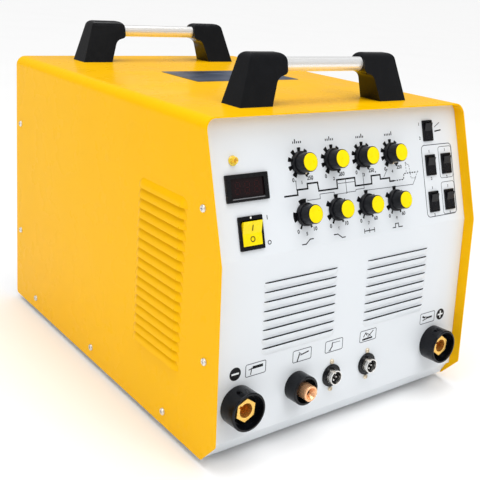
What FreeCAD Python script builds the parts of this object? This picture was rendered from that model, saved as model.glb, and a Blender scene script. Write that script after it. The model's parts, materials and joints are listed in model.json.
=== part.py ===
import FreeCAD, Part
import math
import os

V = FreeCAD.Vector

# A portable welding power source in a folded steel case. Millimetres, +Z up, the front faces -Y and
# +X is to the right of someone who looks at the front. The origin is on the floor, below the
# middle of the whole machine.

# ---- case ----------------------------------------------------------------------------------------
case_width = 436.0
case_height = 400.0
case_depth = 574.0          # from the front kink line to the rear edge
kink_height = 245.0         # above the case's bottom edge
top_setback = 48.0          # the top front edge lies this far behind the kink
toe_reach = 13.0            # the toe lies this far ahead of the kink
toe_height = 30.0
toe_setback = 13.0          # the bottom front corner lies this far behind the kink
sheet = 1.5
bend_radius = 14.0          # outside of the long top bends
corner_radius = 5.0
kink_radius = 16.0
seam = 0.2                  # gap between two folded sheets that lie side by side
overrun = 10.0              # cutting shapes run this far past what they cut
tray_recess = 2.0           # tray's front edge behind the case's bottom front corner
tray_wall = 30.0            # height of its turned-up sides
tray_wall_start = 18.0      # they begin this far behind its front edge
tray_lip_lean = 3.0         # the front lip ends this far behind the panel
foot_height = 8.0
foot_radius = 12.0
foot_inset_x = 38.0
foot_inset_y = 60.0
foot_taper = 1.5
foot_screw_radius = 4.0     # recess for the foot's screw
foot_screw_depth = 3.0

# ---- front panel ---------------------------------------------------------------------------------
panel_recess = 15.0         # behind the case's front edges
panel_foot = 22.0           # its bottom edge above the case's bottom edge
flange = 16.0
panel_bend_radius = 4.0

# ---- louvres: (height, bulge, plate length, pitch, count) are set apart for sides and front ------
side_louvre_height = 12.0
side_louvre_bulge = 4.0
side_louvre_length = 110.0
side_louvre_pitch = 12.7
side_louvre_count = 17
side_louvre_top = 291.0     # open edge of the highest one, above the case's bottom edge
side_louvre_front = 70.0    # behind the kink
front_louvre_height = 8.6
front_louvre_bulge = 2.8
front_louvre_length = 119.0
front_louvre_pitch = 11.7
front_louvre_count = 8
front_louvre_drop = 35.5    # open edge of the highest one, below the kink
front_louvre_x = (-145.0, 24.0)
front_louvre_slit = 1.0     # the sheet's cut stands this far off the hood's lip
side_louvre_slit = 0.2
louvre_wall = 1.1
louvre_root = 0.6           # share of the sheet's thickness that the hood reaches into

# ---- screws --------------------------------------------------------------------------------------
screw_radius = 2.4
screw_head_radius = 4.6
screw_head_height = 2.8
screw_length = 9.0
screw_clearance = 0.2
screw_rounding = 0.7        # share of the head's height that its rim is rounded by
cross_reach = 0.55          # cross slot's arms and their half width, as shares of the head radius
cross_width = 0.12
weld = 0.5                  # parts of one piece run into each other by this much
side_screws_front = [(39.4, 301.0), (18.5, 125.0)]
low_screw_height = 19.0
low_screw_front = 99.0      # first one behind the kink
low_screw_rear = 81.0       # last one ahead of the rear edge
low_screw_count = 3
rear_screw_inset = 18.5     # ahead of the rear edge
rear_screw_heights = (295.0, 117.0)

# ---- carry handles -------------------------------------------------------------------------------
handle_half_width = 142.0
handle_front_y = 87.0       # front face of the front handle, behind the kink
handle_back = 44.5          # from the rear handle to the case's rear edge
bracket_height = 62.4
bracket_base_length = 49.0
bracket_nose = 76.0         # inner end of the bracket's top, from the foot of its outer face
bracket_nose_low = 38.0     # underside of the nose above the case
bracket_neck = 60.0
bracket_neck_height = 33.5
bracket_depth = 38.0
bracket_outer_lean = 20.5   # how far each face leans inward over the bracket's height
bracket_front_lean = 13.5
bracket_rear_lean = 2.0
bracket_front_radii = (0, 10, 11, 6, 13, 0)     # corner radii of the bracket's front view
bracket_side_radii = (0, 9, 8, 0)               # and of its side view
grip_radius = 9.2
grip_wall = 1.8
grip_clearance = 0.05
grip_height = 47.5
grip_back = 23.2            # grip axis behind the foot of the bracket's front face
grip_socket = 22.0          # length of the grip inside each bracket
handle_bolt_radius = 3.0
handle_bolt_reach = 13.0    # above the case's top
handle_bolt_head = (5.0, 4.2)                   # radius and height
handle_bolt_depths = (0.3, 0.75)                # shares of the bracket's depth

# ---- top plate -----------------------------------------------------------------------------------
top_plate_x = (-70.0, 117.0)
top_plate_y = (282.0, 381.0)
top_plate_thickness = 0.6
top_plate_corner = 2.0

# ---- knobs and potentiometers --------------------------------------------------------------------
knob_pitch = 52.4
knob_rows = (103.4, 42.0)   # up the leaning face from the kink
knob_skirt_radius = 14.2
knob_skirt_height = 5.0
knob_radius = 12.2
knob_height = 19.2
knob_cap_radius = 10.5
knob_cap_thickness = 2.6
knob_cap_proud = 0.8
knob_cap_edge = 0.5
knob_skirt_edge = 1.5
knob_edge = 0.6
knob_draft = 0.7            # the grip narrows by this much towards its front
knob_lift = 0.4             # free height under the skirt
spindle_radius = 3.0
spindle_clearance = 0.05
spindle_depth = 13.0        # how far the spindle's bore reaches behind the panel's face
spindle_end_gap = 0.5
pot_radius = 8.5
pot_depth = 12.0
pot_bush_radius = 4.6
pot_bush_reach = 3.4
pot_nut_radius = 6.5
pot_nut_thickness = 2.0
pot_nut_clearance = 1.2

# ---- digital meter, pilot lamp -------------------------------------------------------------------
meter_x = -161.3
meter_up = 82.5
meter_width = 60.0
meter_height = 31.5
meter_bezel_height = 3.2
meter_rim_x = 6.5
meter_rim_y = 5.0
meter_window_recess = 2.0
meter_body_depth = 22.0
meter_body_inset = 2.5
meter_window_thickness = 1.5
meter_window_corner = 0.6
bezel_corner = 1.2          # meter's and switches' bezels
bezel_edge = 0.7
cutout_corner = 0.5         # corners of the panel's square holes
lamp_x = -177.0
lamp_up = 113.8
lamp_flange_radius = 6.0
lamp_lens_radius = 4.6
lamp_reach = 6.5
lamp_flange_thickness = 1.6
lamp_depth = 14.0
lamp_lens_edge = 2.0

# ---- rocker switches -----------------------------------------------------------------------------
power_x = -162.0
power_up = 30.8
power_width = 34.5
power_height = 38.8
power_pocket = (13.8, 15.0) # half width and half height of the rocker's opening
power_bezel_height = 2.6
power_body_depth = 24.0
power_pivot = 0.5           # pivot pins above the panel face
power_front = 4.4           # rocker's ends ahead of its pivot
selector_width = 19.5
selector_height = 28.5
selector_pocket = (7.3, 11.6)
selector_bezel_height = 2.2
selector_body_depth = 18.0
selector_pivot = 0.5
selector_front = 3.4
selector_places = ((154.5, 129.0), (154.5, 82.0), (187.0, 82.0), (154.5, 32.0), (187.0, 32.0))
switch_body_inset = 1.6
rocker_gap = 0.3
rocker_foot = 3.0           # half width of the rocker's narrow back
rocker_depth = 5.0          # back of the rocker behind its pivot
rocker_pin_radius = 1.2
rocker_pin_length = 1.0     # how far each pin reaches into the frame
rocker_pin_gap = 0.3
rocker_end = 2.4            # height of the rocker's flat ends
rocker_edge = 0.5
switch_body_corner = 0.8
switch_room = 3.0           # free depth behind the rocker
power_throw = 18.0
selector_throw = 16.0

# ---- welding sockets -----------------------------------------------------------------------------
socket_drop = 178.5         # below the kink, down the lower face
socket_x = (-177.0, 168.6)
socket_radius = 24.0
socket_depth = 24.0
socket_wall = 2.8
socket_step = 15.0          # floor of the wide hollow
socket_well_radius = 17.6
socket_floor = 9.0
socket_shank_radius = 16.0
socket_shank_depth = 14.0
socket_hex = 14.6           # corner radius of the brass contact
socket_turn = 24.0          # turn of its corners
socket_bore_radius = 9.0
socket_bore_depth = 32.0
socket_stud_radius = 4.0
socket_contact_front = 17.5 # contact's front end ahead of the panel face
socket_contact_back = 26.0  # and its rear end behind it
socket_key_width = 3.4
socket_key_depth = 2.4
socket_key_turn = 54.0
socket_pin_radius = 2.4     # blind locking hole on the outside of the shell
socket_pin_lift = 0.55      # share of the shell's depth
socket_pin_sink = 0.6       # share of the shell's wall
socket_pin_way = V(-0.35, 0.94, 0)
socket_edge = 1.4
stud_gap = 4.0              # solid metal between the two bores of a contact

# ---- torch socket --------------------------------------------------------------------------------
torch_x = -85.5
torch_drop = 178.5
torch_radius = 18.8
torch_depth = 19.5
torch_wall = 3.2
torch_floor = 9.0
torch_shank_radius = 12.0
torch_shank_depth = 12.0
torch_contact_radius = 10.0
torch_contact_front = 28.0
torch_contact_back = 22.0
torch_bore_radius = 2.6
torch_cone_radius = 7.6
torch_cone_depth = 8.0
torch_edge = 1.2
torch_contact_edge = 0.8

# ---- control sockets -----------------------------------------------------------------------------
control_x = (-26.6, 37.8)
control_drop = 180.0
control_flange_radius = 15.0
control_flange_thickness = 2.4
control_shell_radius = 9.6
control_shell_reach = 10.5
control_shell_back = 14.0
control_shell_wall = 1.3
control_flange_edge = 0.8
control_groove = 0.55       # width of a thread groove
control_groove_depth = 0.45
control_groove_pitch = 1.32
control_thread_gap = 1.2    # plain barrel in front of the flange
control_insert_front = 1.5
control_pin_count = 5
control_pin_radius = 1.0
control_pin_circle = 4.6
control_pin_length = 4.5
control_screw_pitch = 37.5
control_screw_radius = 1.5
control_screw_head = 3.3
control_screw_head_height = 2.4
control_screw_length = 8.0

# ---- rear panel, fan, inlets ---------------------------------------------------------------------
rear_recess = 8.0
fan_x = 0.0
fan_height = 215.0
fan_size = 150.0
fan_bore_radius = 71.0
fan_thickness = 38.0
fan_corner = 8.0
fan_bolt_pitch = 132.0
fan_bolt_radius = 2.0
fan_blade_radius = 67.0
fan_blade_count = 7
fan_hub_radius = 25.0
fan_blade_chord = 38.0
fan_blade_thickness = 2.0
fan_blade_pitch = 32.0
fan_blade_gap = 4.0         # rotor's rear end ahead of the panel
fan_strut_gap = 0.6         # and its front end behind the struts
fan_hub_edge = 2.0
fan_screw_head = (4.0, 2.6) # radius and height
fan_strut = 5.0
fan_pin_length = 20.0
fan_shaft_radius = 2.0
fan_shaft_clearance = 0.05
fan_pin_gap = 1.0           # bore's end past the pin's
guard_wire_radius = 1.2
guard_spoke_radius = 1.0    # radial wires
guard_leg_radius = 1.1      # their bent ends
guard_wire_over = 0.7       # radial wires run past the first and last ring
guard_ring_radii = (14.0, 26.0, 38.0, 50.0, 62.0, 73.5)
guard_standoff = 5.5
guard_wire_sink = 0.75      # radial wires lie below the rings by this share of a ring's wire radius
guard_leg_over = 2.0        # legs run this far into the tabs
guard_tab_radius = 6.0
guard_tab_thickness = 1.6
rear_slot_x = (-110.0, 110.0)
rear_slot_height = 322.0
rear_slot_count = 4
rear_slot_pitch = 14.0
rear_slot_length = 90.0
rear_slot_width = 5.0
rear_slot_corner = 2.45
gland_x = -140.0
gland_height = 62.0
gland_radius = 15.0
gland_reach = 24.0
gland_shank_radius = 10.0
gland_bore_radius = 7.0
gland_nut_radius = 17.0
gland_nut_thickness = 5.0
gland_shank_reach = 9.0     # behind the panel's skin
gland_hex_height = 6.0
gland_collar = (2.0, 10.0)  # wider than the shank by, and front end
gland_cap = (9.0, 17.0)     # domed nut's rear and front
gland_cap_turn = 30.0
gland_cone = 16.0           # where the dome starts
gland_lip = 2.2             # wall at the dome's mouth
nipple_x = 140.0
nipple_height = 62.0
nipple_radius = 5.0
nipple_hex = 9.0
nipple_bore_radius = 2.5
nipple_reach = 28.0
nipple_hex_height = 5.0
nipple_shank_reach = 10.0   # behind the panel's skin
nipple_barbs = (10.0, 16.0, 22.0)
nipple_barb_length = 5.0
nipple_barb_drop = 1.0      # a barb is wider than the tube by this much
valve_width = 34.0
valve_depth = 46.0
valve_coil_radius = 15.0
valve_coil_height = 34.0

# ---- inner pieces --------------------------------------------------------------------------------
sink_gap = 15.0             # from the sinks' rear end to the transformer
sink_width = 80.0
sink_height = 95.0
sink_base = 9.0
sink_fin = 2.5
sink_fin_count = 11
sink_x = (-95.0, 95.0)
sink_y = 110.0              # front end, behind the kink
board_thickness = 2.0
board_overhang = 6.0
capacitor_radius = 17.0
capacitor_height = 52.0
capacitor_pitch = 44.0
capacitor_count = 4
capacitor_edge = 2.5
transformer_size = (86.0, 66.0, 74.0)
transformer_back = 83.0     # its core's rear face ahead of the case's rear edge
transformer_leg = 16.0
transformer_swell = 8.0
winding_corner = 8.0
winding_gap = 1.0           # to the outer legs
winding_end_gap = 0.5       # to the yokes
winding_fit = 0.2           # round the middle leg
coil_radius = 30.0
coil_bore = 14.0
coil_thickness = 26.0
coil_x = -110.0
coil_y = 68.0
coil_base_size = (70.0, 34.0, 8.0)

# ---- values that follow --------------------------------------------------------------------------
base_z = foot_height
top_z = base_z + case_height
kink_z = base_z + kink_height
half_width = case_width / 2
inner_half = half_width - sheet - seam
upper_lean = math.atan2(top_setback, case_height - kink_height)
lower_lean = math.atan2(toe_reach, kink_height - toe_height)
front_span = torch_contact_front - panel_recess
front_span = front_span * math.cos(lower_lean) + torch_drop * math.sin(lower_lean)
front_span = front_span + torch_contact_radius * math.sin(lower_lean)
rear_span = case_depth - rear_recess + nipple_reach
kink_y = (front_span - rear_span) / 2
rear_y = kink_y + case_depth
rear_face = rear_y - rear_recess
tray_z = base_z + sheet
handle_pitch = case_depth - handle_front_y - bracket_depth - handle_back
transformer_y = case_depth - transformer_back - transformer_size[1]
sink_length = transformer_y - sink_gap - sink_y
low_screw_pitch = (case_depth - low_screw_rear - low_screw_front) / (low_screw_count - 1)
side_screws_low = [(low_screw_front + k * low_screw_pitch, low_screw_height)
                   for k in range(low_screw_count)]
side_screws_rear = [(case_depth - rear_screw_inset, height) for height in rear_screw_heights]
tolerance = 1e-6


# ---- helpers -------------------------------------------------------------------------------------
def box(low, high):
    """Box between two corners."""
    return Part.makeBox(high[0] - low[0], high[1] - low[1], high[2] - low[2], V(*low))


def rod(radius, start, end, x=0.0, y=0.0):
    """Cylinder along local Z."""
    return Part.makeCylinder(radius, end - start, V(x, y, start))


def union(shapes):
    """One solid from several that share volume."""
    return shapes[0].multiFuse(shapes[1:]).removeSplitter()


def rounded_face(points, radii):
    """Flat face inside a closed outline of points, each corner rounded by its own radius."""
    edges = []
    count = len(points)
    starts, ends = [], []
    for index in range(count):
        corner = points[index]
        back = (points[index - 1] - corner).normalize()
        ahead = (points[(index + 1) % count] - corner).normalize()
        radius = radii[index]
        half = back.getAngle(ahead) / 2
        reach = radius / math.tan(half)
        starts.append(corner + back * reach)
        ends.append(corner + ahead * reach)
        if radius > 0:
            inward = (back + ahead).normalize()
            middle = corner + inward * (radius / math.sin(half) - radius)
            edges.append(Part.Arc(starts[-1], middle, ends[-1]).toShape())
    for index in range(count):
        edges.append(Part.makeLine(ends[index], starts[(index + 1) % count]))
    return Part.Face(Part.Wire(Part.__sortEdges__(edges)))


def rounded_block(width, height, low, high, radius):
    """Block centred on local Z with four rounded long edges."""
    w, h = width / 2, height / 2
    points = [V(-w, -h, low), V(w, -h, low), V(w, h, low), V(-w, h, low)]
    return rounded_face(points, [radius] * 4).extrude(V(0, 0, high - low))


def softened_block(width, height, thickness):
    """Bezel block whose front edges are rounded."""
    block = rounded_block(width, height, 0, thickness, bezel_corner)
    rim = [e for e in block.Edges if abs(e.BoundBox.ZMin - thickness) < tolerance]
    return block.makeFillet(bezel_edge, rim)


def hexagon(radius, low, high, turn=0.0):
    """Hexagonal bar on local Z."""
    corners = [math.radians(60 * k + turn) for k in range(7)]
    outline = Part.makePolygon([V(radius * math.cos(a), radius * math.sin(a), low)
                                for a in corners])
    return Part.Face(outline).extrude(V(0, 0, high - low))


def softened(shape, height, radius):
    """Fillets the outermost round edge that lies at one height on local Z."""
    rims = [e for e in shape.Edges if abs(e.BoundBox.ZMin - height) < tolerance
            and abs(e.BoundBox.ZMax - height) < tolerance]
    rims.sort(key=lambda e: -e.Length)
    return shape.makeFillet(radius, rims[:1])


def placed(shape, placement):
    """Copy of a shape moved from its local frame to its place."""
    copy = shape.copy()
    copy.Placement = placement.multiply(copy.Placement)
    return copy


def on_face(lean, x, up):
    """Place on the front panel's outer face: X to the right, Y up the face, Z out of it."""
    along = V(0, math.sin(lean), math.cos(lean))
    outward = V(0, -math.cos(lean), math.sin(lean))
    origin = V(x, kink_y, kink_z) + along * up - outward * panel_recess
    return FreeCAD.Placement(origin, FreeCAD.Rotation(V(1, 0, 0), along, outward, "ZYX"))


def on_upper(x, up):
    return on_face(upper_lean, x, up)


def on_lower(x, down):
    return on_face(lower_lean, x, -down)


def on_side(side, back, height):
    """Place on a side of the case: Z out of it, Y up. side is -1 for the left, 1 for the right."""
    outward = V(side, 0, 0)
    along = V(0, 0, 1)
    origin = V(side * half_width, kink_y + back, base_z + height)
    return FreeCAD.Placement(origin, FreeCAD.Rotation(along.cross(outward), along, outward, "ZYX"))


def on_rear(x, height):
    """Place on the rear panel's outer face: Z to the rear, Y up."""
    outward = V(0, 1, 0)
    along = V(0, 0, 1)
    origin = V(x, rear_face, base_z + height)
    return FreeCAD.Placement(origin, FreeCAD.Rotation(along.cross(outward), along, outward, "ZYX"))


def panel_y(lean, z, depth=panel_recess):
    """Y of the plane that lies `depth` behind the case's front edge plane, at height z."""
    return kink_y + (z - kink_z) * math.tan(lean) + depth / math.cos(lean)


def kink_point(depth):
    """(y, z) where the two planes that lie `depth` behind the front edges meet."""
    rise = depth * (1 / math.cos(lower_lean) - 1 / math.cos(upper_lean))
    z = kink_z + rise / (math.tan(upper_lean) - math.tan(lower_lean))
    return panel_y(lower_lean, z, depth), z


# ---- louvres -------------------------------------------------------------------------------------
def louvre(height, bulge, length, slit):
    """Pressed hood on local Z, open along y = 0 and closed above, with rounded ends.

    Returns the hood and the hollow to cut from hood and sheet.
    """
    radius = (height ** 2 + bulge ** 2) / (2 * bulge)
    sink = bulge - radius
    half = length / 2 - height

    def capsule(r):
        bar = Part.makeCylinder(r, 2 * half, V(-half, 0, sink), V(1, 0, 0))
        ends = [Part.makeSphere(r, V(x, 0, sink)) for x in (-half, half)]
        return bar.multiFuse(ends)

    front = box((-length, 0, -louvre_root * sheet), (length, radius, radius))
    hood = capsule(radius).common(front)
    room = box((-length, -slit, -sheet - weld), (length, radius, radius))
    hollow = capsule(radius - louvre_wall).common(room)
    return hood, hollow


def side_louvres():
    hood, hollow = louvre(side_louvre_height, side_louvre_bulge, side_louvre_length,
                          side_louvre_slit)
    hoods, hollows = [], []
    for side in (-1, 1):
        for row in range(side_louvre_count):
            height = side_louvre_top - row * side_louvre_pitch
            place = on_side(side, side_louvre_front + side_louvre_length / 2, height)
            hoods.append(placed(hood, place))
            hollows.append(placed(hollow, place))
    return hoods, hollows


def front_louvres():
    hood, hollow = louvre(front_louvre_height, front_louvre_bulge, front_louvre_length,
                          front_louvre_slit)
    flip = FreeCAD.Placement(V(0, 0, 0), FreeCAD.Rotation(V(0, 0, 1), 180))
    hoods, hollows = [], []
    for left in front_louvre_x:
        for row in range(front_louvre_count):
            down = front_louvre_drop + row * front_louvre_pitch
            place = on_lower(left + front_louvre_length / 2, down).multiply(flip)
            hoods.append(placed(hood, place))
            hollows.append(placed(hollow, place))
    return hoods, hollows


# ---- case ----------------------------------------------------------------------------------------
def arch(half, top, radius):
    """Filled arch section across the case, closed at the bottom, run along the whole depth."""
    start = kink_y - toe_reach - overrun
    low = base_z - overrun
    points = [V(-half, start, low), V(-half, start, top), V(half, start, top), V(half, start, low)]
    section = rounded_face(points, [0, radius, radius, 0])
    return section.extrude(V(0, rear_y + overrun - start, 0))


def side_outline():
    """The side view of the case, run across the whole width."""
    x = -half_width - 1
    points = [V(x, rear_y, base_z), V(x, rear_y, top_z), V(x, kink_y + top_setback, top_z),
              V(x, kink_y, kink_z), V(x, kink_y - toe_reach, base_z + toe_height),
              V(x, kink_y + toe_setback, base_z)]
    radii = [corner_radius, 0, 0, kink_radius, corner_radius, corner_radius]
    return rounded_face(points, radii).extrude(V(case_width + 2, 0, 0))


def side_screw_places():
    for side in (-1, 1):
        for back, height in side_screws_front + side_screws_low + side_screws_rear:
            yield on_side(side, back, height)


def handle_screw_points():
    """(x, y) of the bolts that come up through the case's top into the handle brackets."""
    inset = bracket_base_length / 2
    for front in (handle_front_y, handle_front_y + handle_pitch):
        for side in (-1, 1):
            for depth in handle_bolt_depths:
                x = side * (handle_half_width - inset)
                yield x, kink_y + front + depth * bracket_depth


def cover():
    outer = arch(half_width, top_z, bend_radius)
    inner = arch(half_width - sheet, top_z - sheet, bend_radius - sheet)
    shell = outer.cut(inner).common(side_outline())
    hoods, hollows = side_louvres()
    holes = [placed(rod(screw_radius + screw_clearance, -sheet - 1, 1), place)
             for place in side_screw_places()]
    for x, y in handle_screw_points():
        holes.append(rod(handle_bolt_radius + screw_clearance, top_z - sheet - 1, top_z + 1, x, y))
    return shell.multiFuse(hoods).cut(hollows + holes).removeSplitter()


def floor_tray():
    """Floor sheet with turned-up sides, and a front lip that follows the chamfer."""
    front = kink_y + toe_setback + tray_recess
    back = rear_face - sheet - seam
    floor = box((-inner_half, front, base_z), (inner_half, back, tray_z))
    wall_back = rear_face - flange - 2 * seam
    wall = [box((min(s * inner_half, s * (inner_half - sheet)), front + tray_wall_start, base_z),
                (max(s * inner_half, s * (inner_half - sheet)), wall_back, base_z + tray_wall))
            for s in (-1, 1)]
    lip_top = base_z + panel_foot
    lip_y = panel_y(lower_lean, lip_top) + tray_lip_lean
    points = [V(-inner_half, front, base_z), V(-inner_half, front + sheet, base_z),
              V(-inner_half, lip_y + sheet, lip_top), V(-inner_half, lip_y, lip_top)]
    lip = rounded_face(points, [0] * 4).extrude(V(2 * inner_half, 0, 0))
    holes = [placed(rod(screw_radius + screw_clearance, -3 * sheet, 1), on_side(s, b, h))
             for s in (-1, 1) for b, h in side_screws_low]
    return union([floor, lip] + wall).cut(holes)


def rubber_feet():
    feet = []
    for x in (-half_width + foot_inset_x, half_width - foot_inset_x):
        for y in (kink_y + foot_inset_y, rear_y - foot_inset_y):
            foot = Part.makeCone(foot_radius - foot_taper, foot_radius, foot_height, V(x, y, 0))
            feet.append(foot.cut(rod(foot_screw_radius, -1, foot_screw_depth, x, y)))
    return feet


def pan_head_screw(radius, head_radius, head_height, length):
    """Pan head on local Z = 0, shank into -Z, cross slot in the head."""
    head = softened(rod(head_radius, 0, head_height), head_height, head_height * screw_rounding)
    arm = head_radius * cross_reach
    slot = head_radius * cross_width
    cross = [box((-arm, -slot, head_height / 2), (arm, slot, head_height + 1)),
             box((-slot, -arm, head_height / 2), (slot, arm, head_height + 1))]
    return union([head, rod(radius, -length, weld)]).cut(cross)


def case_screws():
    screw = pan_head_screw(screw_radius, screw_head_radius, screw_head_height, screw_length)
    return [placed(screw, place) for place in side_screw_places()]


# ---- front panel ---------------------------------------------------------------------------------
def panel_outline(inset, back, half):
    """Side view of the folded front panel, `inset` inside its outer skin, run across its width."""
    low = base_z + panel_foot + inset
    high = top_z - sheet - seam - inset
    near = panel_recess + inset
    bend_y, bend_z = kink_point(near)
    back_y, back_z = kink_point(back)
    points = [V(-half, panel_y(lower_lean, low, near), low), V(-half, bend_y, bend_z),
              V(-half, panel_y(upper_lean, high, near), high),
              V(-half, panel_y(upper_lean, high, back), high), V(-half, back_y, back_z),
              V(-half, panel_y(lower_lean, low, back), low)]
    return rounded_face(points, [0, panel_bend_radius, 0, 0, 0, 0]).extrude(V(2 * half, 0, 0))


def knob_places():
    """Knobs 1 to 4 stand in the upper row from the left, 5 to 8 in the lower one."""
    for up in knob_rows:
        for column in range(4):
            yield on_upper((column - 1.5) * knob_pitch, up)


def panel_cuts():
    """Everything that passes through the front panel."""
    through = (-sheet - 2, 2)
    cuts = [placed(rod(pot_bush_radius + seam, *through), place) for place in knob_places()]
    gap = 2 * seam - 2 * meter_body_inset
    meter = rounded_block(meter_width + gap, meter_height + gap, *through, cutout_corner)
    cuts.append(placed(meter, on_upper(meter_x, meter_up)))
    cuts.append(placed(rod(lamp_lens_radius + seam, *through), on_upper(lamp_x, lamp_up)))
    gap = 2 * seam - 2 * switch_body_inset
    power = rounded_block(power_width + gap, power_height + gap, *through, cutout_corner)
    cuts.append(placed(power, on_upper(power_x, power_up)))
    selector = rounded_block(selector_width + gap, selector_height + gap, *through, cutout_corner)
    cuts += [placed(selector, on_upper(x, up)) for x, up in selector_places]
    cuts += [placed(rod(socket_shank_radius + seam, *through), on_lower(x, socket_drop))
             for x in socket_x]
    cuts.append(placed(rod(torch_shank_radius + seam, *through), on_lower(torch_x, torch_drop)))
    for x in control_x:
        cuts.append(placed(rod(control_shell_radius + seam, *through), on_lower(x, control_drop)))
        cuts += [placed(rod(control_screw_radius + seam, *through), place)
                 for place in control_screw_places(x)]
    return cuts


def front_panel():
    outer = panel_outline(0, panel_recess + flange, inner_half)
    inner = panel_outline(sheet, panel_recess + flange + overrun, inner_half - sheet)
    hoods, hollows = front_louvres()
    holes = [placed(rod(screw_radius + screw_clearance, -3 * sheet, 1), on_side(s, b, h))
             for s in (-1, 1) for b, h in side_screws_front]
    bend = arch(inner_half, top_z - sheet - seam, bend_radius - sheet - seam)
    shell = outer.cut(inner).common(bend).multiFuse(hoods)
    return shell.cut(hollows + panel_cuts() + holes).removeSplitter()


# ---- carry handles -------------------------------------------------------------------------------
def bracket(side):
    """Handle bracket at its place on the front handle: a leaning block with a socket for the grip."""
    front = [(0, 0), (bracket_outer_lean, bracket_height), (bracket_nose, bracket_height),
             (bracket_nose, bracket_nose_low), (bracket_neck, bracket_neck_height),
             (bracket_base_length, 0)]
    y0 = kink_y + handle_front_y
    points = [V(side * (x - handle_half_width), y0 - 1, top_z + z) for x, z in front]
    front_view = rounded_face(points, bracket_front_radii).extrude(V(0, bracket_depth + 2, 0))
    profile = [(0, 0), (bracket_front_lean, bracket_height),
               (bracket_depth - bracket_rear_lean, bracket_height), (bracket_depth, 0)]
    points = [V(-handle_half_width - 1, y0 + y, top_z + z) for y, z in profile]
    side_view = rounded_face(points, bracket_side_radii).extrude(V(2 * handle_half_width + 2, 0, 0))
    body = front_view.common(side_view)
    end = -side * (handle_half_width - bracket_nose + grip_socket)
    socket = Part.makeCylinder(grip_radius + grip_clearance, bracket_nose, grip_axis(end),
                               V(side, 0, 0))
    holes = [rod(handle_bolt_radius, top_z - 1, top_z + handle_bolt_reach + 1, x, y)
             for x, y in handle_screw_points()]
    return body.cut([socket] + holes)


def grip_axis(x):
    return V(x, kink_y + handle_front_y + grip_back, top_z + grip_height)


def both_handles(shape):
    """A front handle's piece and its twin on the rear handle."""
    rear = FreeCAD.Placement(V(0, handle_pitch, 0), FreeCAD.Rotation())
    return [shape, placed(shape, rear)]


def handle_brackets_left():
    return both_handles(bracket(1))


def handle_brackets_right():
    return both_handles(bracket(-1))


def handle_grips():
    half = handle_half_width - bracket_nose + grip_socket
    grip = Part.makeCylinder(grip_radius, 2 * half, grip_axis(-half), V(1, 0, 0))
    bore = Part.makeCylinder(grip_radius - grip_wall, 2 * half + 2, grip_axis(-half - 1), V(1, 0, 0))
    return both_handles(grip.cut(bore))


def handle_bolts():
    bolts = []
    head_radius, head_height = handle_bolt_head
    under = top_z - sheet
    for x, y in handle_screw_points():
        shank = rod(handle_bolt_radius, under - weld, top_z + handle_bolt_reach, x, y)
        head = rod(head_radius, under - head_height, under, x, y)
        bolts.append(shank.fuse(head).removeSplitter())
    return bolts


def top_plate():
    low, high = top_plate_x
    near, far = top_plate_y
    plate = rounded_block(high - low, far - near, 0, top_plate_thickness, top_plate_corner)
    centre = V((low + high) / 2, kink_y + (near + far) / 2, top_z)
    return placed(plate, FreeCAD.Placement(centre, FreeCAD.Rotation()))


# ---- knobs ---------------------------------------------------------------------------------------
def potentiometer():
    """Body behind the panel, threaded bush through it and the nut under the knob, in one piece."""
    body = rod(pot_radius, -sheet - pot_depth, -sheet)
    bush = rod(pot_bush_radius, -sheet - 1, pot_bush_reach)
    nut = hexagon(pot_nut_radius, 0, pot_nut_thickness)
    bore = rod(spindle_radius + spindle_clearance, -spindle_depth, pot_bush_reach + 1)
    return union([body, bush, nut]).cut(bore)


def knob():
    """Skirted knob with its spindle; a pocket in front takes the cap."""
    shoulder = knob_lift + knob_skirt_height
    skirt = softened(rod(knob_skirt_radius, knob_lift, shoulder), shoulder, knob_skirt_edge)
    grip = Part.makeCone(knob_radius, knob_radius - knob_draft, knob_height - 1, V(0, 0, 1))
    grip = softened(grip, knob_height, knob_edge)
    room = rod(pot_nut_radius + pot_nut_clearance, 0, pot_bush_reach + pot_nut_clearance)
    pocket = rod(knob_cap_radius, knob_height - knob_cap_thickness, knob_height + 1)
    spindle = rod(spindle_radius, spindle_end_gap - spindle_depth, knob_height / 2)
    return union([skirt, grip]).cut([room, pocket]).fuse(spindle).removeSplitter()


def knob_cap():
    front = knob_height + knob_cap_proud
    cap = rod(knob_cap_radius, knob_height - knob_cap_thickness, front)
    return softened(cap, front, knob_cap_edge)


# ---- meter and lamp ------------------------------------------------------------------------------
def meter_bezel():
    frame = softened_block(meter_width, meter_height, meter_bezel_height)
    body = rounded_block(meter_width - 2 * meter_body_inset, meter_height - 2 * meter_body_inset,
                         -meter_body_depth, weld, cutout_corner)
    shape = union([frame, body]).cut(meter_pane(meter_bezel_height + 1))
    return placed(shape, on_upper(meter_x, meter_up))


def meter_pane(front):
    """Block on local Z with the window's outline, from the window's back to a chosen front."""
    back = meter_bezel_height - meter_window_recess - meter_window_thickness
    return rounded_block(meter_width - 2 * meter_rim_x, meter_height - 2 * meter_rim_y, back,
                         front, meter_window_corner)


def meter_window():
    pane = meter_pane(meter_bezel_height - meter_window_recess)
    return placed(pane, on_upper(meter_x, meter_up))


def pilot_lamp():
    ring = rod(lamp_flange_radius, 0, lamp_flange_thickness)
    lens = softened(rod(lamp_lens_radius, -lamp_depth, lamp_reach), lamp_reach, lamp_lens_edge)
    return placed(union([ring, lens]), on_upper(lamp_x, lamp_up))


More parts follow.
